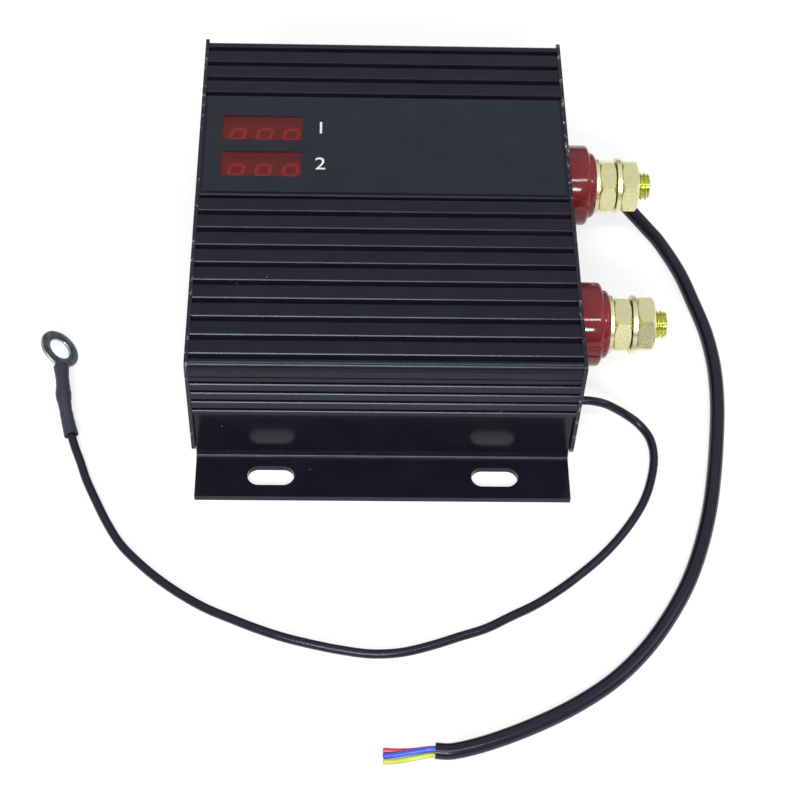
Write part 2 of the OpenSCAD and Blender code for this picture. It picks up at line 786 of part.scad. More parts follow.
module coil_winding() {
    low = bobbin_low + bobbin_flange_t;
    high = bobbin_high - bobbin_flange_t;
    color([0.72, 0.36, 0.12]) translate([coil_x, 0, low]) difference() {
        cylinder(d = winding_d, h = high - low);
        translate([0, 0, -over])
            cylinder(d = core_d + 2 * bobbin_wall, h = high - low + 2 * over);
    }
}

module coil_pins() {
    low = bobbin_low + bobbin_flange_t;
    color([0.8, 0.8, 0.78]) for (s = [-1, 1]) translate([coil_x, s * pin_y, low])
        cylinder(d = coil_pin_d, h = board_top + coil_pin_d / 2 - low);
}

module hinge_pin() {
    color([0.8, 0.8, 0.82]) translate([hinge_x, yoke_w / 2, hinge_z]) rotate([90, 0, 0])
        cylinder(d = hinge_pin_d, h = yoke_w);
}

// Close-wound spring between the yoke's foot and the armature's tail
module return_spring() {
    low = bobbin_low + spring_end_gap + spring_wire_d / 2;
    high = armature_z - spring_end_gap - spring_wire_d / 2;
    steps = 8;
    turns = spring_turns * steps;
    route = [for (i = [0 : turns])
        [spring_x + spring_r * cos(i * 360 / steps), spring_r * sin(i * 360 / steps),
            low + (high - low) * i / turns]];
    color([0.7, 0.71, 0.73]) tube(route, [for (p = route) spring_wire_d / 2], 6);
}

knuckle_w = yoke_w - 2 * ear_t - 2 * knuckle_gap;

// Hinged armature: knuckle round the pin, tail for the spring, plate over the pole
module armature_plate() {
    tip_x = contact_x + carrier_l / 2;
    shoulder_x = hinge_x + ear_r + knuckle_gap;
    tail_w = 5;
    color([0.58, 0.59, 0.61]) difference() {
        union() {
            translate([hinge_x, knuckle_w / 2, hinge_z]) rotate([90, 0, 0])
                cylinder(r = ear_r, h = knuckle_w);
            block([hinge_x, -knuckle_w / 2, armature_z],
                [shoulder_x + over, knuckle_w / 2, armature_z + iron_t]);
            block([shoulder_x, -plate_w / 2, armature_z],
                [tip_x - carrier_l, plate_w / 2, armature_z + iron_t]);
            block([tip_x - carrier_l - over, -knuckle_w / 2, armature_z],
                [tip_x, knuckle_w / 2, armature_z + iron_t]);
            block([spring_x - tail_w / 2, -tail_w / 2, armature_z],
                [hinge_x, tail_w / 2, armature_z + iron_t]);
        }
        translate([hinge_x, knuckle_w / 2 + over, hinge_z]) rotate([90, 0, 0])
            cylinder(d = hinge_pin_d + 2 * run_fit, h = knuckle_w + 2 * over);
        for (s = [-1, 1]) translate([contact_x, s * rivet_y, armature_z - over])
            cylinder(d = rivet_d + 2 * run_fit, h = iron_t + 2 * over);
    }
}

// Insulating block that carries the bridge contact under the armature
module contact_carrier() {
    color([0.75, 0.7, 0.55]) difference() {
        block([contact_x - carrier_l / 2, -carrier_w / 2, bridge_z + bridge_t],
            [contact_x + carrier_l / 2, carrier_w / 2, armature_z]);
        for (s = [-1, 1]) translate([contact_x, s * rivet_y, bridge_z])
            cylinder(d = rivet_d + 2 * run_fit, h = armature_z - bridge_z + over);
    }
}

module bridge_contact() {
    color([0.8, 0.45, 0.25]) difference() {
        union() {
            block([contact_x - bridge_w / 2, -bridge_l / 2, bridge_z],
                [contact_x + bridge_w / 2, bridge_l / 2, bridge_z + bridge_t]);
            for (s = [-1, 1]) translate([contact_x, s * contact_y, bridge_z - contact_t])
                cylinder(d = contact_d, h = contact_t + over);
        }
        for (s = [-1, 1]) translate([contact_x, s * rivet_y, bridge_z - over])
            cylinder(d = rivet_d + 2 * run_fit, h = bridge_t + 2 * over);
    }
}

module carrier_rivets() {
    color([0.75, 0.76, 0.78]) for (s = [-1, 1]) translate([contact_x, s * rivet_y, 0]) {
        translate([0, 0, bridge_z - rivet_head_t / 2])
            cylinder(d = rivet_d, h = armature_z + iron_t - bridge_z + rivet_head_t);
        translate([0, 0, bridge_z - rivet_head_t]) cylinder(d = rivet_head_d, h = rivet_head_t);
        translate([0, 0, armature_z + iron_t]) cylinder(d = rivet_head_d, h = rivet_head_t);
    }
}

// Moulded block on the floor that carries both busbars' contact ends
module contact_base() {
    half_w = stud_spacing / 2 + busbar_w / 2;
    color([0.13, 0.13, 0.14]) difference() {
        block([contact_x - busbar_arm / 2, -half_w, floor_top],
            [contact_x + busbar_arm / 2, half_w, busbar_z]);
        translate([contact_x, 0, floor_top - over])
            cylinder(d = relay_screw_d + 2 * seat_gap, h = contact_base_t + 2 * over);
    }
}

// Fixed contacts: a copper post with a smaller silver tip
module fixed_contacts() {
    color([0.85, 0.84, 0.8]) for (s = [-1, 1]) translate([contact_x, s * contact_y, busbar_top]) {
        cylinder(d = contact_post_d, h = fixed_top - contact_t - busbar_top);
        cylinder(d = contact_d, h = fixed_top - busbar_top);
    }
}

module relay_screw(seat_z) {
    slot_w_share = 0.18;
    difference() {
        union() {
            translate([0, 0, channel_h]) cylinder(d = relay_screw_d, h = seat_z - channel_h + over);
            translate([0, 0, seat_z]) cylinder(d = relay_head_d, h = relay_head_t);
        }
        block([-relay_head_d, -relay_head_d * slot_w_share / 2, seat_z + relay_head_t / 2],
            [relay_head_d, relay_head_d * slot_w_share / 2, seat_z + relay_head_t + over]);
    }
}

module relay_screws() {
    color([0.75, 0.75, 0.77]) {
        for (s = [-1, 1]) translate([coil_x + relay_toe_x, s * relay_screw_y, 0])
            relay_screw(floor_top + iron_t);
        translate([contact_x, 0, 0]) relay_screw(busbar_z);
    }
}

// Busbar: a tab on the stud, a run along the floor and an arm in to its fixed contact
module busbar(side) {
    y = stud_spacing / 2;
    inner = contact_y - contact_post_d / 2 - 2 * seat_gap;
    color([0.8, 0.45, 0.25]) difference() {
        union() {
            block([tab_x - busbar_t, side * y - busbar_w / 2, busbar_z],
                [tab_x, side * y + busbar_w / 2, stud_h + tab_rise]);
            block([contact_x - busbar_arm / 2, side * y - busbar_w / 2, busbar_z],
                [tab_x, side * y + busbar_w / 2, busbar_top]);
            block([contact_x - busbar_arm / 2, min(side * y, side * inner), busbar_z],
                [contact_x + busbar_arm / 2, max(side * y, side * inner), busbar_top]);
        }
        translate([0, side * y, stud_h]) rod_x(tab_x - busbar_t - over, busbar_t + 2 * over,
            stud_d + 2 * seat_gap);
    }
}

module busbar_front() {
    busbar(-1);
}

module busbar_rear() {
    busbar(1);
}

// Power terminals

// Brass stud with its hexagon head inside; under the nuts it has the thread's mean diameter
module terminal_stud(y) {
    head_x = tab_x - busbar_t - stud_head_t;
    color([0.85, 0.72, 0.3]) translate([0, y, stud_h]) {
        translate([head_x, 0, 0]) rotate([0, 90, 0])
            cylinder(d = stud_head_af / cos(30), h = stud_head_t, $fn = 6);
        rod_x(head_x + stud_head_t, right_face + inner_nut_at - head_x - stud_head_t, stud_d);
        rod_x(right_face + inner_nut_at, nut_t + stack_gap + washer_t + stack_gap + nut_t,
            thread_mean_d);
        rod_x(right_face + free_end_at, stud_reach - free_end_at - stud_chamfer, stud_d);
        translate([right_face + stud_reach - stud_chamfer, 0, 0]) rotate([0, 90, 0])
            cylinder(d1 = stud_d, d2 = stud_d - 2 * stud_chamfer, h = stud_chamfer);
    }
}

// Red insulating bushing: wide part, collar and the spigot that fills the plate's hole
module bushing(y) {
    inner_r = stud_d / 2 + seat_gap;
    color([0.45, 0.05, 0.06]) translate([right_face, y, stud_h]) rotate([0, 90, 0]) rotate_extrude() {
        difference() {
            union() {
                translate([0, -plate_t]) square([spigot_d / 2, plate_t + over]);
                square([bushing_d / 2, bushing_l - bushing_round]);
                square([bushing_d / 2 - bushing_round, bushing_l]);
                translate([bushing_d / 2 - bushing_round, bushing_l - bushing_round])
                    circle(r = bushing_round);
                square([collar_d / 2, bushing_l + collar_l - collar_round]);
                square([collar_d / 2 - collar_round, bushing_l + collar_l]);
                translate([collar_d / 2 - collar_round, bushing_l + collar_l - collar_round])
                    circle(r = collar_round);
            }
            translate([-over, -plate_t - over])
                square([inner_r + over, bushing_l + collar_l + plate_t + 2 * over]);
        }
    }
}

module inner_insulators() {
    color([0.4, 0.05, 0.06]) for (y = stud_ys) translate([0, y, stud_h]) difference() {
        rod_x(tab_x, insulator_t, insulator_d);
        rod_x(tab_x - over, insulator_t + 2 * over, stud_d + 2 * seat_gap);
    }
}

module flat_washer(at, thickness) {
    difference() {
        rod_x(right_face + at, thickness, washer_d);
        rod_x(right_face + at - over, thickness + 2 * over, washer_bore_d);
    }
}

module seat_washers() {
    color([0.8, 0.74, 0.5]) for (y = stud_ys) translate([0, y, stud_h])
        flat_washer(seat_washer_at, seat_washer_t);
}

// Hexagon nut with both faces chamfered to a circle
module hex_nut(at, turn) {
    corner_r = nut_af / cos(30) / 2;
    face_r = nut_af / 2 * nut_chamfer_share;
    translate([right_face + at, 0, 0]) difference() {
        intersection() {
            rotate([90 + turn, 0, 0]) rotate([0, 90, 0]) cylinder(r = corner_r, h = nut_t, $fn = 6);
            rotate([0, 90, 0]) rotate_extrude() polygon([
                [0, 0], [face_r, 0], [corner_r + nut_chamfer_drop, nut_chamfer],
                [corner_r + nut_chamfer_drop, nut_t - nut_chamfer], [face_r, nut_t], [0, nut_t]]);
        }
        rod_x(-over, nut_t + 2 * over, nut_bore_d);
    }
}
nut_chamfer_drop = 0.05;

module inner_nuts() {
    color([0.8, 0.72, 0.42]) for (i = [0, 1]) translate([0, stud_ys[i], stud_h])
        hex_nut(inner_nut_at, inner_nut_turn[i]);
}

module lug_washer(i) {
    color([0.82, 0.78, 0.6]) translate([0, stud_ys[i], stud_h]) flat_washer(washer_at, washer_t);
}

module outer_nut(i) {
    color([0.8, 0.72, 0.42]) translate([0, stud_ys[i], stud_h])
        hex_nut(outer_nut_at, outer_nut_turn[i]);
}

// Grommets and cords

// Rubber grommet that clips into the plate, its outer lip rounded
module grommet(place, wire_d) {
    bore_r = wire_d / 2 + run_fit;
    neck_r = wire_d / 2 + grommet_wall;
    lip_r = neck_r + grommet_rim;
    length = plate_t + 2 * grommet_lip;
    color([0.06, 0.06, 0.06]) translate([plate_x - grommet_lip, place[0], place[1]])
        rotate([0, 90, 0]) rotate_extrude() difference() {
            union() {
                square([neck_r, length]);
                for (low = [0, grommet_lip + plate_t]) {
                    translate([0, low]) square([lip_r - grommet_lip / 2, grommet_lip]);
                    translate([lip_r - grommet_lip / 2, low + grommet_lip / 2])
                        circle(d = grommet_lip);
                }
            }
            translate([-over, -over]) square([bore_r + over, length + 2 * over]);
        }
}

module earth_lead() {
    color([0.06, 0.06, 0.06]) cord(lead_route, lead_d);
}

module control_cable() {
    color([0.06, 0.06, 0.06]) cord(cable_route, cable_d);
}

module heat_shrink_sleeve() {
    color([0.05, 0.05, 0.06]) tube(sleeve_route, sleeve_width_shares * lug_t / 2, 10);
}

// Ring lug: flat ring, short tongue and the crimp barrel under the sleeve
module ring_lug() {
    ring_r = lug_d / 2;
    color([0.5, 0.52, 0.53]) translate(lug_at) rotate([0, 0, lug_heading]) rotate([0, lug_roll, 0])
        difference() {
            union() {
                translate([0, 0, -lug_t / 2]) cylinder(r = ring_r, h = lug_t);
                block([-lug_tongue_w / 2, -ring_r - lug_t, -lug_t / 2], [lug_tongue_w / 2, 0, lug_t / 2]);
                translate([0, -ring_r, 0]) rotate([90, 0, 0])
                    cylinder(d = lug_barrel_d, h = lug_barrel_l);
            }
            translate([0, 0, -lug_t]) cylinder(d = lug_hole_d, h = 2 * lug_t);
        }
}

module core_wire(route, tint) {
    color(tint) cord(route, core_wire_d);
}

base_extrusion();
lid_extrusion();
left_end_plate();
right_end_plate();
end_plate_screws();
face_label();
window_filter(window_ys[0]);  // window_filter_front
window_filter(window_ys[1]);  // window_filter_rear
display_module(window_ys[0]);  // display_front
display_module(window_ys[1]);  // display_rear
circuit_board();
controller_chip();
capacitors();
voltage_regulator();
earth_connector();
control_connector();
relay_yoke();
coil_core();
coil_bobbin();
coil_winding();
coil_pins();
hinge_pin();
return_spring();
armature_plate();
contact_carrier();
bridge_contact();
carrier_rivets();
contact_base();
fixed_contacts();
relay_screws();
busbar_front();
busbar_rear();
terminal_stud(stud_ys[0]);  // terminal_stud_front
terminal_stud(stud_ys[1]);  // terminal_stud_rear
bushing(stud_ys[0]);  // bushing_front
bushing(stud_ys[1]);  // bushing_rear
inner_insulators();
seat_washers();
inner_nuts();
lug_washer(0);  // lug_washer_front
lug_washer(1);  // lug_washer_rear
outer_nut(0);  // outer_nut_front
outer_nut(1);  // outer_nut_rear
grommet(lead_exit, lead_d);  // lead_grommet
grommet(cable_exit, cable_d);  // cable_grommet
earth_lead();
heat_shrink_sleeve();
ring_lug();
control_cable();
core_wire(red_route, [0.8, 0.1, 0.15]);  // core_red
core_wire(blue_route, [0.15, 0.2, 0.8]);  // core_blue
core_wire(yellow_route, [0.85, 0.85, 0.1]);  // core_yellow
cord(earth_inside_route, lead_d);  // earth_wire_inside
cord(control_inside_route, cable_d);  // control_wire_inside
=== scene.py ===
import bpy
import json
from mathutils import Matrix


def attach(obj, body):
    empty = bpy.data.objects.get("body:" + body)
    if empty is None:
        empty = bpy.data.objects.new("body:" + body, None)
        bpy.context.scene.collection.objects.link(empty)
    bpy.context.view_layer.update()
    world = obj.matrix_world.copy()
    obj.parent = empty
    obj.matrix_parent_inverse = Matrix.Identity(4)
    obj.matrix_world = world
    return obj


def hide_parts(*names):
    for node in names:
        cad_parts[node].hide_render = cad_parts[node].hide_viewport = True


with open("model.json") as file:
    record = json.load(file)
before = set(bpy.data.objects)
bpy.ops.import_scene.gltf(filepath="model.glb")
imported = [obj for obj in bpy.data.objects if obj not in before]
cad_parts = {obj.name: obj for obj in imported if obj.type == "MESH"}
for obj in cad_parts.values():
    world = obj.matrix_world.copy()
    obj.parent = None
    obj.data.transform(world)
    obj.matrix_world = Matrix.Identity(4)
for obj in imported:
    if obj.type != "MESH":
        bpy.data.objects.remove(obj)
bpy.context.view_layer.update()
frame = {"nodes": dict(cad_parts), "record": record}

import json
import logging
import math
from dataclasses import dataclass, field
from enum import Enum

import bmesh
import bpy
import numpy as np
from mathutils import Matrix, Vector

log = logging.getLogger("isolator_relay")

Socket = bpy.types.NodeSocket
Tree = bpy.types.NodeTree
Material = bpy.types.Material
Object = bpy.types.Object
Colour = tuple[float, float, float]

MM = 0.001
HOUSING = "housing"
# Angles in degrees past which an edge stays sharp
SHARP = 38.0
FLAT_SHARP = 20.0
ROUND_SHARP = 50.0
# Metres below which two points or an edge's ends become one
MERGE_GAP = 1e-7
SHORT_EDGE = 1e-8


class Side(Enum):
    """The two power terminals, by the Y place of their axis in millimetres."""

    FRONT = -25.75
    REAR = 25.75


class Grain(Enum):
    """The kinds of fine relief that a finish can have."""

    NONE = "none"
    SAND = "sand"
    DRAWN = "drawn"
    WOUND = "wound"


# Node sheets and shared node groups


class NodeSheet:
    """Adds and joins nodes in one node tree."""

    def __init__(self, tree: Tree) -> None:
        """Takes hold of a node tree and empties it.

        Args:
            tree: The tree of a material, a world or a node group.
        """
        self.tree = tree
        tree.nodes.clear()

    def add(self, kind: str, inputs: dict | None = None, **settings: object) -> bpy.types.Node:
        """Adds a node, sets it up and joins its inputs.

        Args:
            kind: The node's type name.
            inputs: Values or output sockets, by input name or index.
            **settings: Attributes of the node.

        Returns:
            The new node.
        """
        node = self.tree.nodes.new(kind)
        for name, value in settings.items():
            setattr(node, name, value)
        for key, value in (inputs or {}).items():
            if isinstance(value, Socket):
                self.tree.links.new(value, node.inputs[key])
            else:
                node.inputs[key].default_value = value
        return node

    def math(self, operation: str, *values: object) -> Socket:
        """Adds a Math node.

        Args:
            operation: The node's operation.
            *values: Numbers or sockets, in order.

        Returns:
            The node's value.
        """
        return self.add("ShaderNodeMath", dict(enumerate(values)), operation=operation).outputs[0]

    def ramp(self, value: object, low: float, high: float, to_low: float = 0.0,
             to_high: float = 1.0) -> Socket:
        """Maps a value from one range to another and clamps it.

        Args:
            value: The socket that is mapped.
            low: Start of the range.
            high: End of the range.
            to_low: What the start becomes.
            to_high: What the end becomes.

        Returns:
            The mapped value.
        """
        return self.add("ShaderNodeMapRange", {0: value, 1: low, 2: high, 3: to_low, 4: to_high}).outputs[0]

    def blend(self, mask: object, first: object, second: object) -> Socket:
        """Mixes two colours by a mask.

        Args:
            mask: 0 gives the first colour and 1 the second.
            first: A colour or a socket.
            second: A colour or a socket.

        Returns:
            The mixed colour.
        """
        full = [(*c, 1.0) if isinstance(c, tuple) else c for c in (first, second)]
        return self.add("ShaderNodeMix", {0: mask, 6: full[0], 7: full[1]}, data_type="RGBA").outputs[2]

    def noise(self, place: object, scale: object, detail: float = 2.0) -> Socket:
        """Adds a noise texture.

        Args:
            place: The vector that it reads.
            scale: Cells per metre.
            detail: Octaves.

        Returns:
            The noise, from 0 to 1.
        """
        return self.add("ShaderNodeTexNoise", {"Vector": place, "Scale": scale, "Detail": detail}).outputs[0]

    def stretch(self, place: object, shares: tuple[float, float, float]) -> Socket:
        """Scales a vector along its axes.

        Args:
            place: The vector.
            shares: Factor along each axis.

        Returns:
            The scaled vector.
        """
        return self.add("ShaderNodeVectorMath", {0: place, 1: shares}, operation="MULTIPLY").outputs[0]

    def use(self, tree: Tree, **inputs: object) -> Socket:
        """Places a shared group and joins it.

        Args:
            tree: The group.
            **inputs: Its inputs by name.

        Returns:
            The group's output.
        """
        return self.add("ShaderNodeGroup", inputs, node_tree=tree).outputs[0]

    def give(self, label: str, value: Socket) -> Tree:
        """Puts a value out of a node group.

        Args:
            label: The output's name.
            value: What it carries.

        Returns:
            The finished group.
        """
        self.tree.interface.new_socket(name=label, in_out="OUTPUT", socket_type="NodeSocketFloat")
        self.add("NodeGroupOutput", {label: value})
        return self.tree


def group(name: str, takes: dict[str, float | None]) -> tuple[NodeSheet, dict[str, Socket]]:
    """Starts a node group.

    Args:
        name: The group's name.
        takes: Input names with their starting numbers, or None for a vector.

    Returns:
        The group's sheet and its inputs by name.
    """
    tree = bpy.data.node_groups.new(name, "ShaderNodeTree")
    for label, start in takes.items():
        kind = "NodeSocketVector" if start is None else "NodeSocketFloat"
        socket = tree.interface.new_socket(name=label, in_out="INPUT", socket_type=kind)
        if start is not None:
            socket.default_value = start
    sheet = NodeSheet(tree)
    source = sheet.add("NodeGroupInput")
    return sheet, {label: source.outputs[label] for label in takes}


@dataclass
class Effects:
    """The effects that several materials share, each built once as a node group.

    Scales are in cells per metre and lengths in metres. A range is the stretch of a noise, or of a
    distance, that a ramp spreads to the whole from 0 to 1.
    """

    fine_share: float = 0.4
    coarse_scale: float = 0.27
    line_length: float = 60.0
    mottle_range: tuple = (0.34, 0.66)
    speck_range: tuple = (0.03, 0.075)
    bend: float = 0.0007
    bend_scale: float = 2500.0
    patch_scale: float = 420.0
    patch_range: tuple = (0.55, 0.66)
    nick_scale: float = 2600.0
    nick_range: tuple = (0.5, 0.62)

    def __post_init__(self) -> None:
        """Builds all the groups."""
        self.sand = self._sand()
        self.drawn = self._drawn()
        self.mottle = self._mottle()
        self.dust = self._dust()
        self.rim = self._rim()

    def _sand(self) -> Tree:
        """Sandy grain: a fine and a coarse noise, added by their shares.

        Returns:
            The group.
        """
        sheet, take = group("sand_grain", {"Place": None, "Scale": 3000.0})
        fine = sheet.noise(take["Place"], take["Scale"], 3.0)
        coarse = sheet.noise(take["Place"], sheet.math("MULTIPLY", take["Scale"], self.coarse_scale), 1.0)
        fine = sheet.math("MULTIPLY", fine, self.fine_share)
        coarse = sheet.math("MULTIPLY", coarse, 1 - self.fine_share)
        return sheet.give("Height", sheet.math("ADD", fine, coarse))

    def _drawn(self) -> Tree:
        """Drawing lines of an extrusion: noise that is many times longer along X than across.

        Returns:
            The group.
        """
        sheet, take = group("drawn_lines", {"Place": None, "Scale": 6000.0})
        place = sheet.stretch(take["Place"], (1 / self.line_length, 1.0, 1.0))
        return sheet.give("Height", sheet.noise(place, take["Scale"]))

    def _mottle(self) -> Tree:
        """Slow change of tone: one noise, spread to the whole range from 0 to 1.

        Returns:
            The group.
        """
        sheet, take = group("mottle", {"Place": None, "Scale": 90.0})
        noise = sheet.noise(take["Place"], take["Scale"], 3.0)
        return sheet.give("Mask", sheet.ramp(noise, *self.mottle_range))

    def _dust(self) -> Tree:
        """Dust: a bent speck near the centre of those cells whose random number is below the share.

        Returns:
            The group.
        """
        sheet, take = group("dust_specks", {"Place": None, "Scale": 260.0, "Share": 0.05})
        wander = sheet.add("ShaderNodeTexNoise", {"Vector": take["Place"], "Scale": self.bend_scale})
        bent = sheet.stretch(wander.outputs["Color"], (self.bend,) * 3)
        place = sheet.add("ShaderNodeVectorMath", {0: take["Place"], 1: bent}, operation="ADD").outputs[0]
        cells = sheet.add("ShaderNodeTexVoronoi", {"Vector": place, "Scale": take["Scale"]})
        chance = sheet.add("ShaderNodeSeparateColor", {0: cells.outputs["Color"]}).outputs[0]
        speck = sheet.ramp(cells.outputs["Distance"], *self.speck_range, 1.0, 0.0)
        chosen = sheet.math("LESS_THAN", chance, take["Share"])
        return sheet.give("Mask", sheet.math("MULTIPLY", speck, chosen))

    def _rim(self) -> Tree:
        """Scuffs on a plate's outline: noise inside a band that follows a rectangle in Y and Z.

        Returns:
            The group.
        """
        sheet, take = group("worn_rim", {
            "Place": None, "Half Y": 0.0595, "Low Z": 0.0059, "High Z": 0.04365, "Band": 0.0007})
        at = sheet.add("ShaderNodeSeparateXYZ", {0: take["Place"]})
        sides = sheet.math("SUBTRACT", take["Half Y"], sheet.math("ABSOLUTE", at.outputs["Y"]))
        above = sheet.math("SUBTRACT", take["High Z"], at.outputs["Z"])
        below = sheet.math("SUBTRACT", at.outputs["Z"], take["Low Z"])
        nearest = sheet.math("MINIMUM", sides, sheet.math("MINIMUM", above, below))
        band = sheet.math("LESS_THAN", nearest, take["Band"])
        patches = sheet.ramp(sheet.noise(take["Place"], self.patch_scale, 3.0), *self.patch_range)
        nicks = sheet.ramp(sheet.noise(take["Place"], self.nick_scale), *self.nick_range)
        return sheet.give("Mask", sheet.math("MULTIPLY", band, sheet.math("MULTIPLY", patches, nicks)))


# Finishes


VIOLET = (0.74, 0.76, 1.0)
DUST_GREY = (0.34, 0.33, 0.29)
DUST_COVER = 0.55
# How much finer the roughness changes than the tone
GLOSS_FINENESS = 2.3


@dataclass(frozen=True)
class Finish:
    """A finish with a base colour, fine relief, a slow change of tone and some dust.

    Colours are linear. Scales are in cells per metre and depths in metres. The tone is the share by
    which the colour rises and falls, and the spread is how far the roughness does.
    """

    colour: Colour
    roughness: float = 0.4
    metallic: float = 0.0
    specular: float = 0.5
    shine: Colour = (1.0, 1.0, 1.0)
    grain: Grain = Grain.SAND
    grain_scale: float = 3000.0
    grain_depth: float = 4e-6
    tone: float = 0.12
    tone_scale: float = 120.0
    spread: float = 0.05
    dust_share: float = 0.0
    alpha: float = 1.0
    # Emission that makes a part glow with painted light; only the digits use it, though their display is
    # unlit
    glow: Colour = (0.0, 0.0, 0.0)

    def tint(self, sheet: NodeSheet, place: Socket, effects: Effects) -> Socket:
        """Colour over the surface.

        Args:
            sheet: The material's sheet.
            place: Object coordinates.
            effects: The shared groups.

        Returns:
            The colour.
        """
        mask = sheet.use(effects.mottle, Place=place, Scale=self.tone_scale)
        deep = tuple(c * (1 - self.tone) for c in self.colour)
        high = tuple(min(1.0, c * (1 + self.tone)) for c in self.colour)
        colour = sheet.blend(mask, deep, high)
        if self.dust_share:
            specks = sheet.use(effects.dust, Place=place, Share=self.dust_share)
            colour = sheet.blend(sheet.math("MULTIPLY", specks, DUST_COVER), colour, DUST_GREY)
        return colour

    def gloss(self, sheet: NodeSheet, place: Socket, effects: Effects) -> Socket:
        """Roughness over the surface: the finish's own value with a slow change.

        Args:
            sheet: The material's sheet.
            place: Object coordinates.
            effects: The shared groups.

        Returns:
            The roughness.
        """
        mask = sheet.use(effects.mottle, Place=place, Scale=self.tone_scale * GLOSS_FINENESS)
        return sheet.ramp(mask, 0.0, 1.0, self.roughness - self.spread, self.roughness + self.spread)

    def relief(self, sheet: NodeSheet, place: Socket, effects: Effects) -> Socket:
        """Height of the fine relief, from 0 to 1.

        Args:
            sheet: The material's sheet.
            place: Object coordinates.
            effects: The shared groups.

        Returns:
            The height.
        """
        if self.grain is Grain.WOUND:
            height = sheet.add("ShaderNodeSeparateXYZ", {0: place}).outputs["Z"]
            turns = sheet.math("MULTIPLY", height, self.grain_scale)
            return sheet.math("ABSOLUTE", sheet.math("SINE", turns))
        tree = effects.drawn if self.grain is Grain.DRAWN else effects.sand
        return sheet.use(tree, Place=place, Scale=self.grain_scale)

    def build(self, name: str, effects: Effects) -> Material:
        """Makes the material.

        Args:
            name: The material's name.
            effects: The shared groups.

        Returns:
            The material.
        """
        material = bpy.data.materials.new(name)
        material.use_nodes = True
        sheet = NodeSheet(material.node_tree)
        place = sheet.add("ShaderNodeTexCoord").outputs["Object"]
        bsdf = sheet.add("ShaderNodeBsdfPrincipled", {
            "Base Color": self.tint(sheet, place, effects), "Roughness": self.gloss(sheet, place, effects),
            "Metallic": self.metallic, "Alpha": self.alpha,
            "Specular IOR Level": self.specular, "Specular Tint": (*self.shine, 1.0),
            "Emission Color": (*self.glow, 1.0), "Emission Strength": float(any(self.glow))})
        if self.grain is not Grain.NONE:
            bump = sheet.add("ShaderNodeBump", {
                "Height": self.relief(sheet, place, effects), "Distance": self.grain_depth, "Strength": 1.0})
            sheet.tree.links.new(bump.outputs[0], bsdf.inputs["Normal"])
        sheet.add("ShaderNodeOutputMaterial", {"Surface": bsdf.outputs[0]})
        return material


@dataclass(frozen=True)
class ExtrusionFinish(Finish):
    """Black anodised extrusion, glossier on the smooth lower walls and the flanges."""

    wall_top: float = 0.0221
    wall_fade: float = 0.0001
    wall_roughness: float = 0.14
    line_scale: float = 2600.0

    def gloss(self, sheet: NodeSheet, place: Socket, effects: Effects) -> Socket:
        """Roughness: the wall's value below its top, and the lands' value above.

        Args:
            sheet: The material's sheet.
            place: Object coordinates.
            effects: The shared groups.

        Returns:
            The roughness.
        """
        height = sheet.add("ShaderNodeSeparateXYZ", {0: place}).outputs["Z"]
        rough = sheet.ramp(height, self.wall_top - self.wall_fade, self.wall_top,
                           self.wall_roughness, self.roughness)
        lines = sheet.use(effects.drawn, Place=place, Scale=self.line_scale)
        change = sheet.math("MULTIPLY", sheet.math("SUBTRACT", lines, 0.5), 2 * self.spread)
        return sheet.math("ADD", rough, change)


@dataclass(frozen=True)
class PlateFinish(Finish):
    """Black anodised sheet whose edges are scuffed to bare metal in places."""

    bare: Colour = (0.42, 0.42, 0.45)

    def tint(self, sheet: NodeSheet, place: Socket, effects: Effects) -> Socket:
        """Colour: bare metal in the scuffs of the rim and the anodised colour elsewhere.

        Args:
            sheet: The material's sheet.
            place: Object coordinates.
            effects: The shared groups.

        Returns:
            The colour.
        """
        colour = super().tint(sheet, place, effects)
        return sheet.blend(sheet.use(effects.rim, Place=place), colour, self.bare)


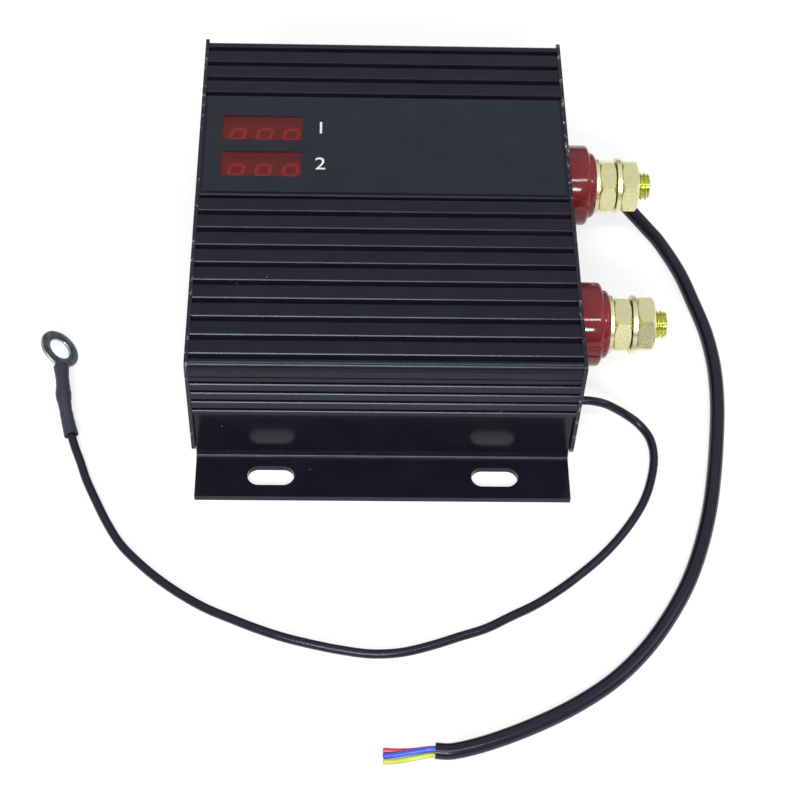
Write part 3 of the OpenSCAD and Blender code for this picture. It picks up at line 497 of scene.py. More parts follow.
FINISHES: dict[str, Finish] = {
    "black_anodised": ExtrusionFinish(
        (0.0088, 0.0092, 0.0148), 0.2, specular=0.22, shine=VIOLET, grain=Grain.DRAWN, grain_scale=5200.0,
        grain_depth=1.5e-6, tone=0.15, spread=0.03, dust_share=0.02),
    "black_plate": PlateFinish(
        (0.014, 0.014, 0.0215), 0.3, specular=0.3, shine=VIOLET, grain_depth=3e-6, spread=0.015,
        dust_share=0.03),
    "black_screw": Finish((0.012, 0.012, 0.014), 0.35),
    "label_film": Finish(
        (0.0135, 0.015, 0.021), 0.3, specular=0.26, shine=VIOLET, grain_depth=2e-6, spread=0.008,
        dust_share=0.03),
    "label_print": Finish((0.78, 0.8, 0.82), 0.45, grain_depth=1e-6),
    "red_window": Finish(
        (0.15, 0.012, 0.014), 0.12, specular=0.35, grain=Grain.NONE, alpha=0.55, tone=0.06, spread=0.01),
    "display_resin": Finish((0.012, 0.009, 0.009), 0.35, specular=0.3, grain=Grain.NONE),
    # Painted glow: the display is unlit, and this emission makes its digits brighter than their red resin
    # would be under the lamps
    "digit_resin": Finish((0.7, 0.1, 0.08), glow=(0.5, 0.009, 0.007)),
    "board_laminate": Finish((0.015, 0.11, 0.04), 0.3, tone=0.25),
    "black_component": Finish((0.02, 0.02, 0.021), 0.5),
    "capacitor_sleeve": Finish((0.03, 0.035, 0.08), 0.3),
    "cream_connector": Finish((0.7, 0.64, 0.47)),
    "relay_iron": Finish((0.46, 0.47, 0.5), 0.38, metallic=1.0, grain=Grain.DRAWN, grain_depth=3e-6),
    "bobbin_plastic": Finish((0.03, 0.04, 0.07), 0.45),
    "enamelled_wire": Finish(
        (0.42, 0.13, 0.035), 0.25, metallic=0.6, grain=Grain.WOUND, grain_scale=12566.0,
        grain_depth=1.2e-4),
    "tinned_metal": Finish((0.68, 0.68, 0.66), 0.28, metallic=1.0),
    "bright_steel": Finish((0.62, 0.63, 0.66), 0.26, metallic=1.0),
    "carrier_laminate": Finish((0.42, 0.33, 0.18), 0.55, tone=0.2),
    "copper_bar": Finish((0.78, 0.36, 0.2), 0.32, metallic=1.0, grain=Grain.DRAWN),
    "contact_silver": Finish((0.82, 0.8, 0.76), 0.25, metallic=1.0),
    "black_moulding": Finish((0.02, 0.02, 0.022), 0.45),
    "stud_brass": Finish((0.64, 0.68, 0.2), 0.2, metallic=1.0, grain_depth=6e-6, tone=0.1),
    "red_moulding": Finish(
        (0.2, 0.009, 0.012), 0.1, specular=0.45, grain_scale=900.0, grain_depth=3e-6, tone=0.08,
        dust_share=0.02),
    "pale_washer": Finish((0.82, 0.77, 0.53), 0.28, metallic=1.0, grain_depth=3e-6),
    "nut_brass": Finish(
        (0.76, 0.73, 0.42), 0.26, metallic=1.0, grain_scale=5200.0, grain_depth=2.2e-6, tone=0.05,
        tone_scale=900.0),
    "grommet_rubber": Finish((0.012, 0.012, 0.013), 0.5),
    "cord_black": Finish(
        (0.009, 0.009, 0.015), 0.2, specular=0.36, shine=VIOLET, grain_scale=1500.0, grain_depth=3e-6),
    "sleeve_shrink": Finish(
        (0.035, 0.036, 0.056), 0.5, specular=0.4, shine=VIOLET, grain_scale=1800.0, grain_depth=2e-5),
    "lug_tin": Finish(
        (0.4, 0.43, 0.45), 0.34, metallic=1.0, grain_scale=2500.0, grain_depth=1.5e-5, tone=0.2,
        tone_scale=350.0),
    "core_red": Finish((0.62, 0.03, 0.08), 0.35),
    "core_blue": Finish((0.035, 0.09, 0.72), 0.35),
    "core_yellow": Finish((0.5, 0.57, 0.08), 0.35),
}


class Paints:
    """The materials of all finishes, made when they are first asked for."""

    def __init__(self) -> None:
        """Starts with the shared groups and no materials."""
        self.effects = Effects()
        self.made: dict[str, Material] = {}

    def get(self, slot: str) -> Material:
        """Material of a finish.

        Args:
            slot: The finish's name.

        Returns:
            The material.
        """
        if slot not in self.made:
            self.made[slot] = FINISHES[slot].build(slot, self.effects)
        return self.made[slot]


# Surfaces


def angles(count: int) -> np.ndarray:
    """Equal steps of a full turn, from 0 on, in one row."""
    return (np.arange(count) / count * 2 * math.pi)[None, :]


def smooth_path(route: np.ndarray, step: float) -> np.ndarray:
    """A smooth curve through the points of a route.

    Each stretch from one point to the next is the cubic a + bt + ct^2 + dt^3 whose ends have the
    slope of the line between their neighbours (Catmull-Rom). The ends keep the slope of their stretch.

    Args:
        route: Points of the route, one row each.
        step: Greatest distance between two points of the curve.

    Returns:
        The curve's points, one row each.
    """
    ends = np.vstack([2 * route[0] - route[1], route, 2 * route[-1] - route[-2]])
    before, start, end, after = ends[:-3], ends[1:-2], ends[2:-1], ends[3:]
    count = max(2, int(np.ceil(np.linalg.norm(end - start, axis=1).max() / step)))
    t = (np.arange(count) / count)[None, :, None]
    p0, p1, p2, p3 = (p[:, None, :] for p in (before, start, end, after))
    curve = 0.5 * (2 * p1 + (p2 - p0) * t + (2 * p0 - 5 * p1 + 4 * p2 - p3) * t ** 2
                   + (3 * p1 - p0 - 3 * p2 + p3) * t ** 3)
    return np.vstack([curve.reshape(-1, 3), route[-1:]])


def tube_grid(path: np.ndarray, radii: np.ndarray | float, sides: int, flat: float = 1.0) -> np.ndarray:
    """Rings round a path: centre + r (cos a . side + flat . sin a . up), a from 0 to a full turn.

    The side vector is the path's direction crossed with Z, and up is at right angles to both.

    Args:
        path: Centre points.
        radii: Radius at each point, or one radius for them all.
        sides: Points on a ring.
        flat: Share of the height that a ring keeps.

    Returns:
        The grid, rings by sides by three.
    """
    ahead = np.gradient(path, axis=0)
    ahead /= np.linalg.norm(ahead, axis=1, keepdims=True)
    side = np.cross(ahead, [0.0, 0.0, 1.0])
    side /= np.linalg.norm(side, axis=1, keepdims=True)
    up = np.cross(side, ahead)
    a = angles(sides)[..., None]
    around = np.cos(a) * side[:, None, :] + flat * np.sin(a) * up[:, None, :]
    return path[:, None, :] + np.broadcast_to(radii, len(path))[:, None, None] * around


def with_caps(grid: np.ndarray) -> np.ndarray:
    """Adds a ring at the centre of each end, so that the ends close to a point.

    Args:
        grid: Rings by sides by three.

    Returns:
        The grid with two more rings.
    """
    first = np.broadcast_to(grid[:1].mean(axis=1, keepdims=True), grid[:1].shape)
    last = np.broadcast_to(grid[-1:].mean(axis=1, keepdims=True), grid[-1:].shape)
    return np.concatenate([first, grid, last])


def grid_faces(rows: int, columns: int, ring: bool) -> np.ndarray:
    """Quads of a grid that closes on itself across its columns.

    Args:
        rows: Number of rows.
        columns: Number of columns.
        ring: True if the last row joins the first.

    Returns:
        Four vertex numbers for each face.
    """
    i = np.arange(rows if ring else rows - 1)[:, None]
    j = np.arange(columns)[None, :]
    following, right = (i + 1) % rows, (j + 1) % columns
    corners = [i * columns + j, i * columns + right, following * columns + right, following * columns + j]
    return np.stack([np.broadcast_to(c, (i.shape[0], columns)) for c in corners], axis=-1).reshape(-1, 4)


def piece(name: str, grids: list[np.ndarray], material: Material, ring: bool = False,
          sharp: float = SHARP) -> Object:
    """Makes one object of closed surfaces.

    Args:
        name: The object's name.
        grids: Grids of points, each rows by columns by three.
        material: The object's material.
        ring: True if the last row of each grid joins its first.
        sharp: Angle in degrees past which an edge stays sharp.

    Returns:
        The object.
    """
    points, faces, start = [], [], 0
    for grid in grids:
        points.append(grid.reshape(-1, 3))
        faces.append(grid_faces(grid.shape[0], grid.shape[1], ring) + start)
        start += len(points[-1])
    mesh = bpy.data.meshes.new(name)
    mesh.from_pydata(np.vstack(points).tolist(), [], np.vstack(faces).tolist())
    return finished(name, mesh, material, sharp)


def finished(name: str, mesh: bpy.types.Mesh, material: Material, sharp: float) -> Object:
    """Merges doubles, turns the faces outwards, smooths the mesh and puts it in an object.

    Args:
        name: The object's name.
        mesh: The mesh.
        material: The material.
        sharp: Angle in degrees past which an edge stays sharp.

    Returns:
        The object.
    """
    work = bmesh.new()
    work.from_mesh(mesh)
    bmesh.ops.remove_doubles(work, verts=work.verts, dist=MERGE_GAP)
    bmesh.ops.dissolve_degenerate(work, edges=work.edges, dist=SHORT_EDGE)
    bmesh.ops.recalc_face_normals(work, faces=work.faces)
    work.to_mesh(mesh)
    work.free()
    mesh.polygons.foreach_set("use_smooth", np.ones(len(mesh.polygons), bool))
    mesh.set_sharp_from_angle(angle=math.radians(sharp))
    mesh.materials.append(material)
    made = bpy.data.objects.new(name, mesh)
    bpy.context.scene.collection.objects.link(made)
    return made


def revolve(profile: np.ndarray, axis_y: float, axis_z: float, sides: int) -> np.ndarray:
    """A profile turned round a line along X: (x, y0 + r cos a, z0 + r sin a).

    Args:
        profile: Rows of X and radius.
        axis_y: Y of the line.
        axis_z: Z of the line.
        sides: Points round the line.

    Returns:
        The grid.
    """
    a = angles(sides)
    x = np.broadcast_to(profile[:, :1], (len(profile), sides))
    r = profile[:, 1:2]
    return np.stack([x, axis_y + r * np.cos(a), axis_z + r * np.sin(a)], axis=-1)


def arc(x: float, r: float, radius: float, start: float, end: float, count: int) -> np.ndarray:
    """Points of an arc in a profile: (x + radius cos a, r + radius sin a).

    Args:
        x: X of its centre.
        r: Distance of its centre from the axis.
        radius: Its radius.
        start: First angle in degrees.
        end: Last angle in degrees.
        count: Number of points.

    Returns:
        Rows of X and radius.
    """
    a = np.radians(np.linspace(start, end, count))
    return np.stack([x + radius * np.cos(a), r + radius * np.sin(a)], axis=-1)


def mount(item: Object, slot: str, *nodes: str) -> Object:
    """Lets a piece ride on the housing, hides the CAD nodes that it stands for and reports its faces.

    Args:
        item: The piece.
        slot: The record's material slot; not used.
        *nodes: CAD nodes that it stands for.

    Returns:
        The piece.
    """
    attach(item, HOUSING)
    if nodes:
        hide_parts(*nodes)
    log.info("%s: %d faces", item.name, len(item.data.polygons))
    return item


# Cords


@dataclass
class EarthLead:
    """The earth lead with its shrink sleeve and ring terminal, lying to the left of the housing.

    The lug's turn is its tilt and its heading. The tongue's tables run from the ring to the end of
    the barrel. The lip is the sleeve's edge, which turns in where the lead enters.
    """

    diameter: float = 2.4 * MM
    route_mm: tuple = (
        (52.2, -45.5, 11), (56, -45.5, 11), (60, -45.5, 9.8), (63.5, -45.3, 7.2), (67, -45.5, 4.4),
        (70.5, -47, 2.2), (73.2, -51, 1.3), (73.8, -57, 1.2), (72.5, -64, 1.2), (70, -71, 1.2),
        (66.3, -77.5, 1.2), (61.5, -84, 1.2), (56.5, -89.5, 1.2), (51, -94.5, 1.2), (45.5, -99, 1.2),
        (39, -103.5, 1.2), (32.5, -107, 1.2), (26, -110.5, 1.2), (19, -113, 1.2), (12, -115.5, 1.2),
        (4.5, -117.5, 1.2), (-3, -118, 1.2), (-10.5, -117, 1.2), (-17.5, -115.5, 1.2),
        (-25, -113.5, 1.2), (-32, -111, 1.2), (-39, -108, 1.2), (-45.5, -105, 1.2),
        (-52, -101, 1.2), (-58, -96.5, 1.2), (-63.5, -91.5, 1.2), (-68.5, -86, 1.2),
        (-72.5, -79.5, 1.2), (-76, -72.5, 1.2), (-79, -66, 1.2), (-81, -60.5, 1.3),
        (-82.8, -56, 1.6), (-84.2, -52, 2))
    sleeve_mm: tuple = (
        (-84.2, -52, 2), (-85.5, -47.5, 2.7), (-86.5, -43.5, 3.5), (-87.2, -40, 4.1),
        (-87.6, -37, 4.2), (-88.1, -34, 4.2), (-88.7, -30.4, 4.2))
    sleeve_radii_mm: tuple = (1.96, 1.8, 1.72, 2.2, 1.88, 1.84, 2.15)
    lug_at_mm: tuple = (-89.75, -24.3, 4.2)
    lug_turn_deg: tuple = (40.0, 9.5)
    ring_r: float = 6.0 * MM
    hole_r: float = 3.2 * MM
    lug_t: float = 0.8 * MM
    lug_soft: float = 0.22 * MM
    ring_sides: int = 64
    tongue_y_mm: tuple = (-4.6, -6.0, -6.8, -7.6, -8.4, -9.4, -14.6)
    tongue_width_mm: tuple = (3.4, 3.2, 3.1, 2.9, 2.8, 2.8, 2.8)
    tongue_height_mm: tuple = (0.7, 0.74, 0.95, 1.6, 2.4, 2.8, 2.8)
    tongue_power: tuple = (0.35, 0.4, 0.5, 0.75, 0.95, 1.0, 1.0)
    tongue_sides: int = 32
    lead_step: float = 1.5 * MM
    lead_sides: int = 16
    sleeve_step: float = 0.35 * MM
    sleeve_sides: int = 24
    sleeve_flat: float = 0.96
    smoothing: int = 9
    wrinkle: float = 0.04 * MM
    wrinkle_rate: float = 61.0
    lip_share: float = 0.86
    lip_depth: float = 0.5 * MM

    def build(self, paints: Paints) -> None:
        """Args:
            paints: The materials.
        """
        path = smooth_path(np.array(self.route_mm, float) * MM, self.lead_step)
        grid = with_caps(tube_grid(path, self.diameter / 2, self.lead_sides))
        lead = piece("earth_cord", [grid], paints.get("cord_black"))
        mount(lead, "cord_black", "earth_lead")
        sleeve = self._sleeve(paints)
        lug = self._lug(paints)

    def _sleeve(self, paints: Paints) -> Object:
        """The sleeve: a tube whose radius follows its table, with shallow rings where it shrank.

        Args:
            paints: The materials.

        Returns:
            The sleeve.
        """
        path = smooth_path(np.array(self.sleeve_mm, float) * MM, self.sleeve_step)
        share = np.linspace(0, 1, len(path))
        radii = np.interp(share, np.linspace(0, 1, len(self.sleeve_radii_mm)), self.sleeve_radii_mm) * MM
        kernel = np.hanning(self.smoothing) / np.hanning(self.smoothing).sum()
        radii = np.convolve(np.pad(radii, self.smoothing // 2, mode="edge"), kernel, mode="valid")
        radii = radii + self.wrinkle * np.sin(share * self.wrinkle_rate) * np.sin(share * math.pi)
        grid = tube_grid(path, radii, self.sleeve_sides, self.sleeve_flat)
        ahead = path[1] - path[0]
        inward = ahead / np.linalg.norm(ahead) * self.lip_depth
        inner = path[0] + (grid[0] - path[0]) * self.lip_share + inward
        made = piece("shrink_sleeve", [with_caps(np.concatenate([inner[None], grid]))],
                     paints.get("sleeve_shrink"))
        return mount(made, "sleeve_shrink", "heat_shrink_sleeve")

    def _lug(self, paints: Paints) -> Object:
        """The ring terminal: a flat ring with rounded edges and a tongue that curls into a barrel.

        The ring is a rounded rectangle turned round Z. The tongue's section is a superellipse whose
        width, height and power change along its length from those of a strip to those of a circle.

        Args:
            paints: The materials.

        Returns:
            The terminal.
        """
        soft = self.lug_soft
        edge, low, high = self.lug_t / 2 - soft, self.hole_r + soft, self.ring_r - soft
        corners = ((edge, high, 0), (-edge, high, 90), (-edge, low, 180), (edge, low, 270))
        profile = np.vstack([arc(x, r, soft, start, start + 90, 5) for x, r, start in corners])
        a, b = angles(self.ring_sides), angles(self.tongue_sides)
        x, y = profile[:, 1:2] * np.cos(a), profile[:, 1:2] * np.sin(a)
        ring = np.stack([x, y, np.broadcast_to(profile[:, :1], x.shape)], axis=-1)
        ring = np.concatenate([ring, ring[:1]])
        y, wide, tall = (np.array(table)[:, None] * MM for table in (
            self.tongue_y_mm, self.tongue_width_mm, self.tongue_height_mm))
        power = np.array(self.tongue_power)[:, None]
        across = wide / 2 * np.sign(np.cos(b)) * np.abs(np.cos(b)) ** power
        over = tall / 2 * np.sign(np.sin(b)) * np.abs(np.sin(b)) ** power
        tongue = with_caps(np.stack([across, np.broadcast_to(y, across.shape), over], axis=-1))
        tilt, heading = (math.radians(turn) for turn in self.lug_turn_deg)
        turn = Matrix.Rotation(heading, 3, "Z") @ Matrix.Rotation(tilt, 3, "Y")
        at = np.array(self.lug_at_mm) * MM
        grids = [g @ np.array(turn).T + at for g in (ring, tongue)]
        made = piece("ring_terminal", grids, paints.get("lug_tin"))
        return mount(made, "lug_tin", "ring_lug")


@dataclass
class ControlCable:
    """The control cable with its three cores, lying to the right and in front of the housing.

    The sheath's cut end and the cores' tips narrow to a share of their radius.
    """

    diameter: float = 4.1 * MM
    core_diameter: float = 1.4 * MM
    sheath_step: float = 2.0 * MM
    sheath_sides: int = 24
    sheath_end: float = 0.8
    core_step: float = 0.5 * MM
    core_sides: int = 16
    core_tip: float = 0.85
    route_mm: tuple = (
        (52.2, 40.5, 11.5), (57, 40.5, 11.5), (62, 39.5, 10.5), (67, 37, 8.2), (71.5, 33, 5.5),
        (76, 28.5, 3.3), (79.5, 24, 2.3), (82.5, 19, 2.1), (87, 8, 2.1), (90, -3.5, 2.1),
        (92.5, -15, 2.1), (93.5, -27, 2.1), (93, -39, 2.1), (91.5, -51, 2.1), (89.5, -63, 2.1),
        (87, -74.5, 2.1), (83.5, -86, 2.1), (79, -97, 2.1), (73, -107.5, 2.1), (66, -117, 2.1),
        (57.5, -125.5, 2.1), (47.5, -132.5, 2.1), (37, -138, 2.1), (26, -142.5, 2.1),
        (17, -145, 2.1), (12.2, -145, 2.1))
    cores_mm: dict = field(default_factory=lambda: {
        "core_red": ((12.2, -144.2, 1.6), (10.8, -144.2, 1.6), (7, -144.5, 1.1), (3, -144.5, 0.8),
                     (-0.5, -144.3, 0.7)),
        "core_blue": ((12.2, -145, 2.9), (10.8, -145, 2.9), (7, -145.4, 2.3), (3, -145.7, 1.4),
                      (-0.5, -145.8, 0.7)),
        "core_yellow": ((12.2, -145.9, 1.6), (10.8, -145.9, 1.6), (7, -146.5, 1.1), (3, -147.1, 0.8),
                        (-0.5, -147.3, 0.7))})

    def build(self, paints: Paints) -> None:
        """Args:
            paints: The materials.
        """
        path = smooth_path(np.array(self.route_mm, float) * MM, self.sheath_step)
        grid = tube_grid(path, self.diameter / 2, self.sheath_sides)
        inner = path[-1] + (grid[-1] - path[-1]) * self.sheath_end
        sheath = piece("control_cord", [with_caps(np.concatenate([grid, inner[None]]))],
                       paints.get("cord_black"))
        mount(sheath, "cord_black", "control_cable")
        cores = [self._core(name, paints) for name in self.cores_mm]

    def _core(self, name: str, paints: Paints) -> Object:
        """One core: a thin tube with a slightly rounded tip.

        Args:
            name: Its node and finish.
            paints: The materials.

        Returns:
            The core.
        """
        path = smooth_path(np.array(self.cores_mm[name], float) * MM, self.core_step)
        radii = np.full(len(path), self.core_diameter / 2)
        radii[-1] *= self.core_tip
        grid = with_caps(tube_grid(path, radii, self.core_sides))
        made = piece(name + "_wire", [grid], paints.get(name))
        return mount(made, name, name)


@dataclass
class InnerWires:
    """The wires from the grommets up to the connectors under the circuit board.

    Each run is its start, its end and its diameter, and the shares are the way from the one to the
    other along X, Y and Z.
    """

    shares: tuple = (
        (0, 0, 0), (0.125, 0, 0), (0.295, 0.07, 0.05), (0.49, 0.33, 0.23), (0.66, 0.47, 0.5),
        (0.79, 0.73, 0.77), (0.885, 1, 0.96), (0.965, 1, 1), (1, 1, 1))
    runs_mm: dict = field(default_factory=lambda: {
        "earth_wire_inside": ((52.2, -45.5, 11), (10.8, -44, 26.07), 2.4),
        "control_wire_inside": ((52.2, 40.5, 11.5), (10.8, 44, 26.07), 4.1)})
    step: float = 1.2 * MM
    sides: int = 16

    def build(self, paints: Paints) -> None:
        """Makes both wires.

        Args:
            paints: The materials.
        """
        for node, (start, end, diameter) in self.runs_mm.items():
            route = np.array(start) + (np.array(end) - np.array(start)) * np.array(self.shares, float)
            path = smooth_path(route * MM, self.step)
            grid = with_caps(tube_grid(path, diameter / 2 * MM, self.sides))
            mount(piece(node + "_run", [grid], paints.get("cord_black")), "cord_black", node)


# Power terminals


@dataclass
class PowerTerminals:
    """The threaded studs and their red insulating bushings, in millimetres along X.

    The head is its two ends and its width over flats. The wide part and the collar of a bushing are
    radius, length and rounding. The thread's wave is its gain and what is cut off its foot.
    """

    axis_z: float = 19.55
    head: tuple = (42.1, 46.5, 13.0)
    shank_r: float = 4.0
    thread_from: float = 61.5
    tip: float = 77.3
    chamfer: float = 0.7
    pitch: float = 1.25
    root_r: float = 3.3
    crest_r: float = 3.97
    thread_wave: tuple = (1.3, 0.12)
    turn_rows: int = 14
    stud_sides: int = 96
    face: float = 51.1
    plate_t: float = 1.0
    spigot_r: float = 7.0
    bore_r: float = 4.1
    wide: tuple = (11.5, 8.0, 1.2)
    collar: tuple = (9.4, 2.2, 1.5)
    foot_soft: float = 0.25
    fillet: float = 0.3
    bore_chamfer: float = 0.3
    bushing_sides: int = 128

    def build(self, paints: Paints) -> None:
        """Makes the stud and the bushing of each side.

        Args:
            paints: The materials.
        """
        for side in Side:
            label = side.name.lower()
            stud = piece("stud_thread_" + label, [self._stud(side.value)], paints.get("stud_brass"),
                         sharp=ROUND_SHARP)
            mount(stud, "stud_brass", "terminal_stud_" + label)
            grid = revolve(self._bushing_profile(), side.value, self.axis_z, self.bushing_sides) * MM
            bushing = piece("bushing_body_" + label, [grid], paints.get("red_moulding"), ring=True,
                            sharp=ROUND_SHARP)
            mount(bushing, "red_moulding", "bushing_" + label)

    def _bushing_profile(self) -> np.ndarray:
        """Outline of a bushing: spigot, wide part, collar and bore, with rounded shoulders.

        Returns:
            Rows of X and radius.
        """
        wide_r, wide_l, wide_soft = self.wide
        collar_r, collar_l, collar_soft = self.collar
        foot, fillet, chamfer = self.foot_soft, self.fillet, self.bore_chamfer
        end, tip = self.face + wide_l, self.face + wide_l + collar_l
        return np.vstack([
            [[self.face - self.plate_t, self.bore_r], [self.face - self.plate_t, self.spigot_r],
             [self.face, self.spigot_r]],
            arc(self.face + foot, wide_r - foot, foot, 180, 90, 4),
            arc(end - wide_soft, wide_r - wide_soft, wide_soft, 90, 0, 12),
            arc(end + fillet, collar_r + fillet, fillet, 180, 270, 5),
            arc(tip - collar_soft, collar_r - collar_soft, collar_soft, 90, 0, 9),
            [[tip, self.bore_r + chamfer], [tip - chamfer, self.bore_r]]])

    def _stud(self, y: float) -> np.ndarray:
        """Surface of a stud: r(x, a) round its axis, from the hexagon head to the chamfered tip.

        On the head r is the apothem over the cosine of the angle from the nearest flat. On the
        thread r is the root plus the depth times a triangle wave of x / pitch - a / 2 pi, cut flat
        at crest and root. At the tip r is at most the chamfer's line.

        Args:
            y: Y of the stud's axis.

        Returns:
            The grid.
        """
        low, high, flats = self.head
        gain, cut = self.thread_wave
        a = angles(self.stud_sides)
        rows = int((self.tip - self.thread_from) / self.pitch * self.turn_rows)
        x = np.concatenate([[low, low, high, high, self.thread_from],
                            np.linspace(self.thread_from, self.tip, rows), [self.tip]])[:, None]
        hexagon = flats / 2 / np.cos((a + math.pi / 6) % (math.pi / 3) - math.pi / 6)
        wave = 1 - np.abs(2 * ((x / self.pitch - a / (2 * math.pi)) % 1.0) - 1)
        thread = self.root_r + (self.crest_r - self.root_r) * np.clip(wave * gain - cut, 0, 1)
        thread = np.minimum(thread, self.shank_r - self.chamfer + (self.tip - x))
        r = np.where(x >= self.thread_from, thread, self.shank_r)
        # The rows of the head's centre, its two rims, the shank's two ends and the tip's centre
        r[1:3], r[3:5] = hexagon, self.shank_r
        r[0] = r[-1] = 0.0
        xs = np.broadcast_to(x, r.shape)
        return np.stack([xs, y + r * np.cos(a), self.axis_z + r * np.sin(a)], axis=-1) * MM


# Display panel


@dataclass
class DisplayPanel:
    """The seven-segment digits under the red windows, and the numbers printed beside them.

    Sizes are in millimetres. The point's place is to the right of its digit and above its foot. A
    bar of a digit goes between two places that are given in halves of its width and height.
    """

    window_x: float = -33.7
    window_ys: tuple = (9.95, 23.55)
    face_z: float = 38.05
    digit_h: float = 9.0
    digit_w: float = 4.8
    digit_pitch: float = 7.55
    stroke: float = 1.05
    gap: float = 0.12
    slant: float = 0.16
    raised: float = 0.8
    depth: float = 0.12
    point_at: tuple = (0.75, 0.5)
    point_r: float = 0.5
    point_sides: int = 16
    digits: tuple = (-1, 0, 1)
    bars: tuple = (
        ((-1, 1), (1, 1)), ((1, 1), (1, 0)), ((1, 0), (1, -1)), ((-1, -1), (1, -1)),
        ((-1, -1), (-1, 0)), ((-1, 0), (-1, 1)), ((-1, 0), (1, 0)))
    label_z: float = 43.655
    mark_x: float = -17.6
    mark_size: float = 6.4
    mark_t: float = 0.01
    mark_lift: float = 0.012

    def build(self, paints: Paints) -> None:
        """Makes the digits of both displays and the label's marks.

        Args:
            paints: The materials.
        """
        for name, y in zip(("front", "rear"), self.window_ys):
            outlines = [self._segment(digit, bar, y) for digit in self.digits for bar in self.bars]
            outlines += [self._point(digit, y) for digit in self.digits]
            # The digits carry the digit_resin finish, whose emission is a painted glow
            mount(self._plates("digits_" + name, outlines, paints.get("digit_resin")), "display_resin")
        self._marks(paints)

    def _segment(self, digit: int, bar: tuple, y: float) -> np.ndarray:
        """Outline of one segment: a bar with pointed ends between two places of the digit.

        Args:
            digit: Place of the digit, -1, 0 or 1.
            bar: Its two ends.
            y: Centre of the window.

        Returns:
            The outline's points in X and Y.
        """
        half = (np.array([self.digit_w, self.digit_h]) - self.stroke) / 2
        start, end = np.array(bar) * half
        along = (end - start) / np.linalg.norm(end - start)
        across = np.array([-along[1], along[0]]) * self.stroke / 2
        start, end = start + along * self.gap, end - along * self.gap
        inset = along * self.stroke / 2
        outline = np.array([start, start + inset + across, end - inset + across, end,
                            end - inset - across, start + inset - across])
        return self._set_down(outline, digit, y)

    def _point(self, digit: int, y: float) -> np.ndarray:
        """Outline of the round point to the right of a digit.

        Args:
            digit: Place of the digit.
            y: Centre of the window.

        Returns:
            The outline's points in X and Y.
        """
        a = angles(self.point_sides)[0]
        across = self.digit_w / 2 + self.point_at[0] + self.point_r * np.cos(a)
        over = -self.digit_h / 2 + self.point_at[1] + self.point_r * np.sin(a)
        return self._set_down(np.stack([across, over], axis=-1), digit, y)

    def _set_down(self, outline: np.ndarray, digit: int, y: float) -> np.ndarray:
        """Slants an outline and moves it to its digit.

        Args:
            outline: Points in X and Y round the digit's centre.
            digit: Place of the digit.
            y: Centre of the window.

        Returns:
            The moved points.
        """
        moved = outline.copy()
        moved[:, 0] += self.slant * outline[:, 1] + self.window_x + digit * self.digit_pitch
        moved[:, 1] += y + self.raised
        return moved

    def _plates(self, name: str, outlines: list[np.ndarray], material: Material) -> Object:
        """Thin plates, one for each outline, that stand on the displays' face.

        Args:
            name: The object's name.
            outlines: Points in X and Y, in millimetres.
            material: The material.

        Returns:
            The object.
        """
        points, faces, start = [], [], 0
        for outline in outlines:
            n = len(outline)
            for level in (self.face_z, self.face_z + self.depth):
                points.append(np.column_stack([outline, np.full(n, level)]) * MM)
            low = start + np.arange(n)
            following = start + (np.arange(n) + 1) % n
            sides = np.stack([low, following, following + n, low + n], axis=-1)
            faces += [low.tolist(), (low + n).tolist(), *sides.tolist()]
            start += 2 * n
        mesh = bpy.data.meshes.new(name)
        mesh.from_pydata(np.vstack(points).tolist(), [], faces)
        return finished(name, mesh, material, FLAT_SHARP)

    def _marks(self, paints: Paints) -> None:
        """Prints a plain number beside each window.

        Args:
            paints: The materials.
        """
        for text, y in zip("21", self.window_ys):
            curve = bpy.data.curves.new("number_" + text, "FONT")
            curve.body, curve.size, curve.extrude = text, self.mark_size * MM, self.mark_t * MM
            curve.align_x, curve.align_y = "CENTER", "CENTER"
            holder = bpy.data.objects.new("number_curve_" + text, curve)
            bpy.context.scene.collection.objects.link(holder)
            bpy.context.view_layer.update()
            graph = bpy.context.evaluated_depsgraph_get()
            mesh = bpy.data.meshes.new_from_object(holder.evaluated_get(graph))
            bpy.data.objects.remove(holder)
            at = Vector((self.mark_x, y, self.label_z + self.mark_lift)) * MM
            mesh.transform(Matrix.Translation(at))
            mesh.materials.clear()
            mount(finished("number_" + text, mesh, paints.get("label_print"), FLAT_SHARP), "label_film")


# Housing


@dataclass
class CadDressing:
    """Gives every CAD node the finish of its slot."""

    subparts: list

    def build(self, paints: Paints) -> None:
        """Puts the materials on.

        Args:
            paints: The materials.
        """
        for row in self.subparts:
            node = frame["nodes"][row["node"]]
            material = paints.get(row["material_slot"])
            if not node.material_slots:
                node.data.materials.append(material)
            for slot in node.material_slots:
                slot.material = material
            log.info("%s: %s", row["node"], row["material_slot"])


# Studio


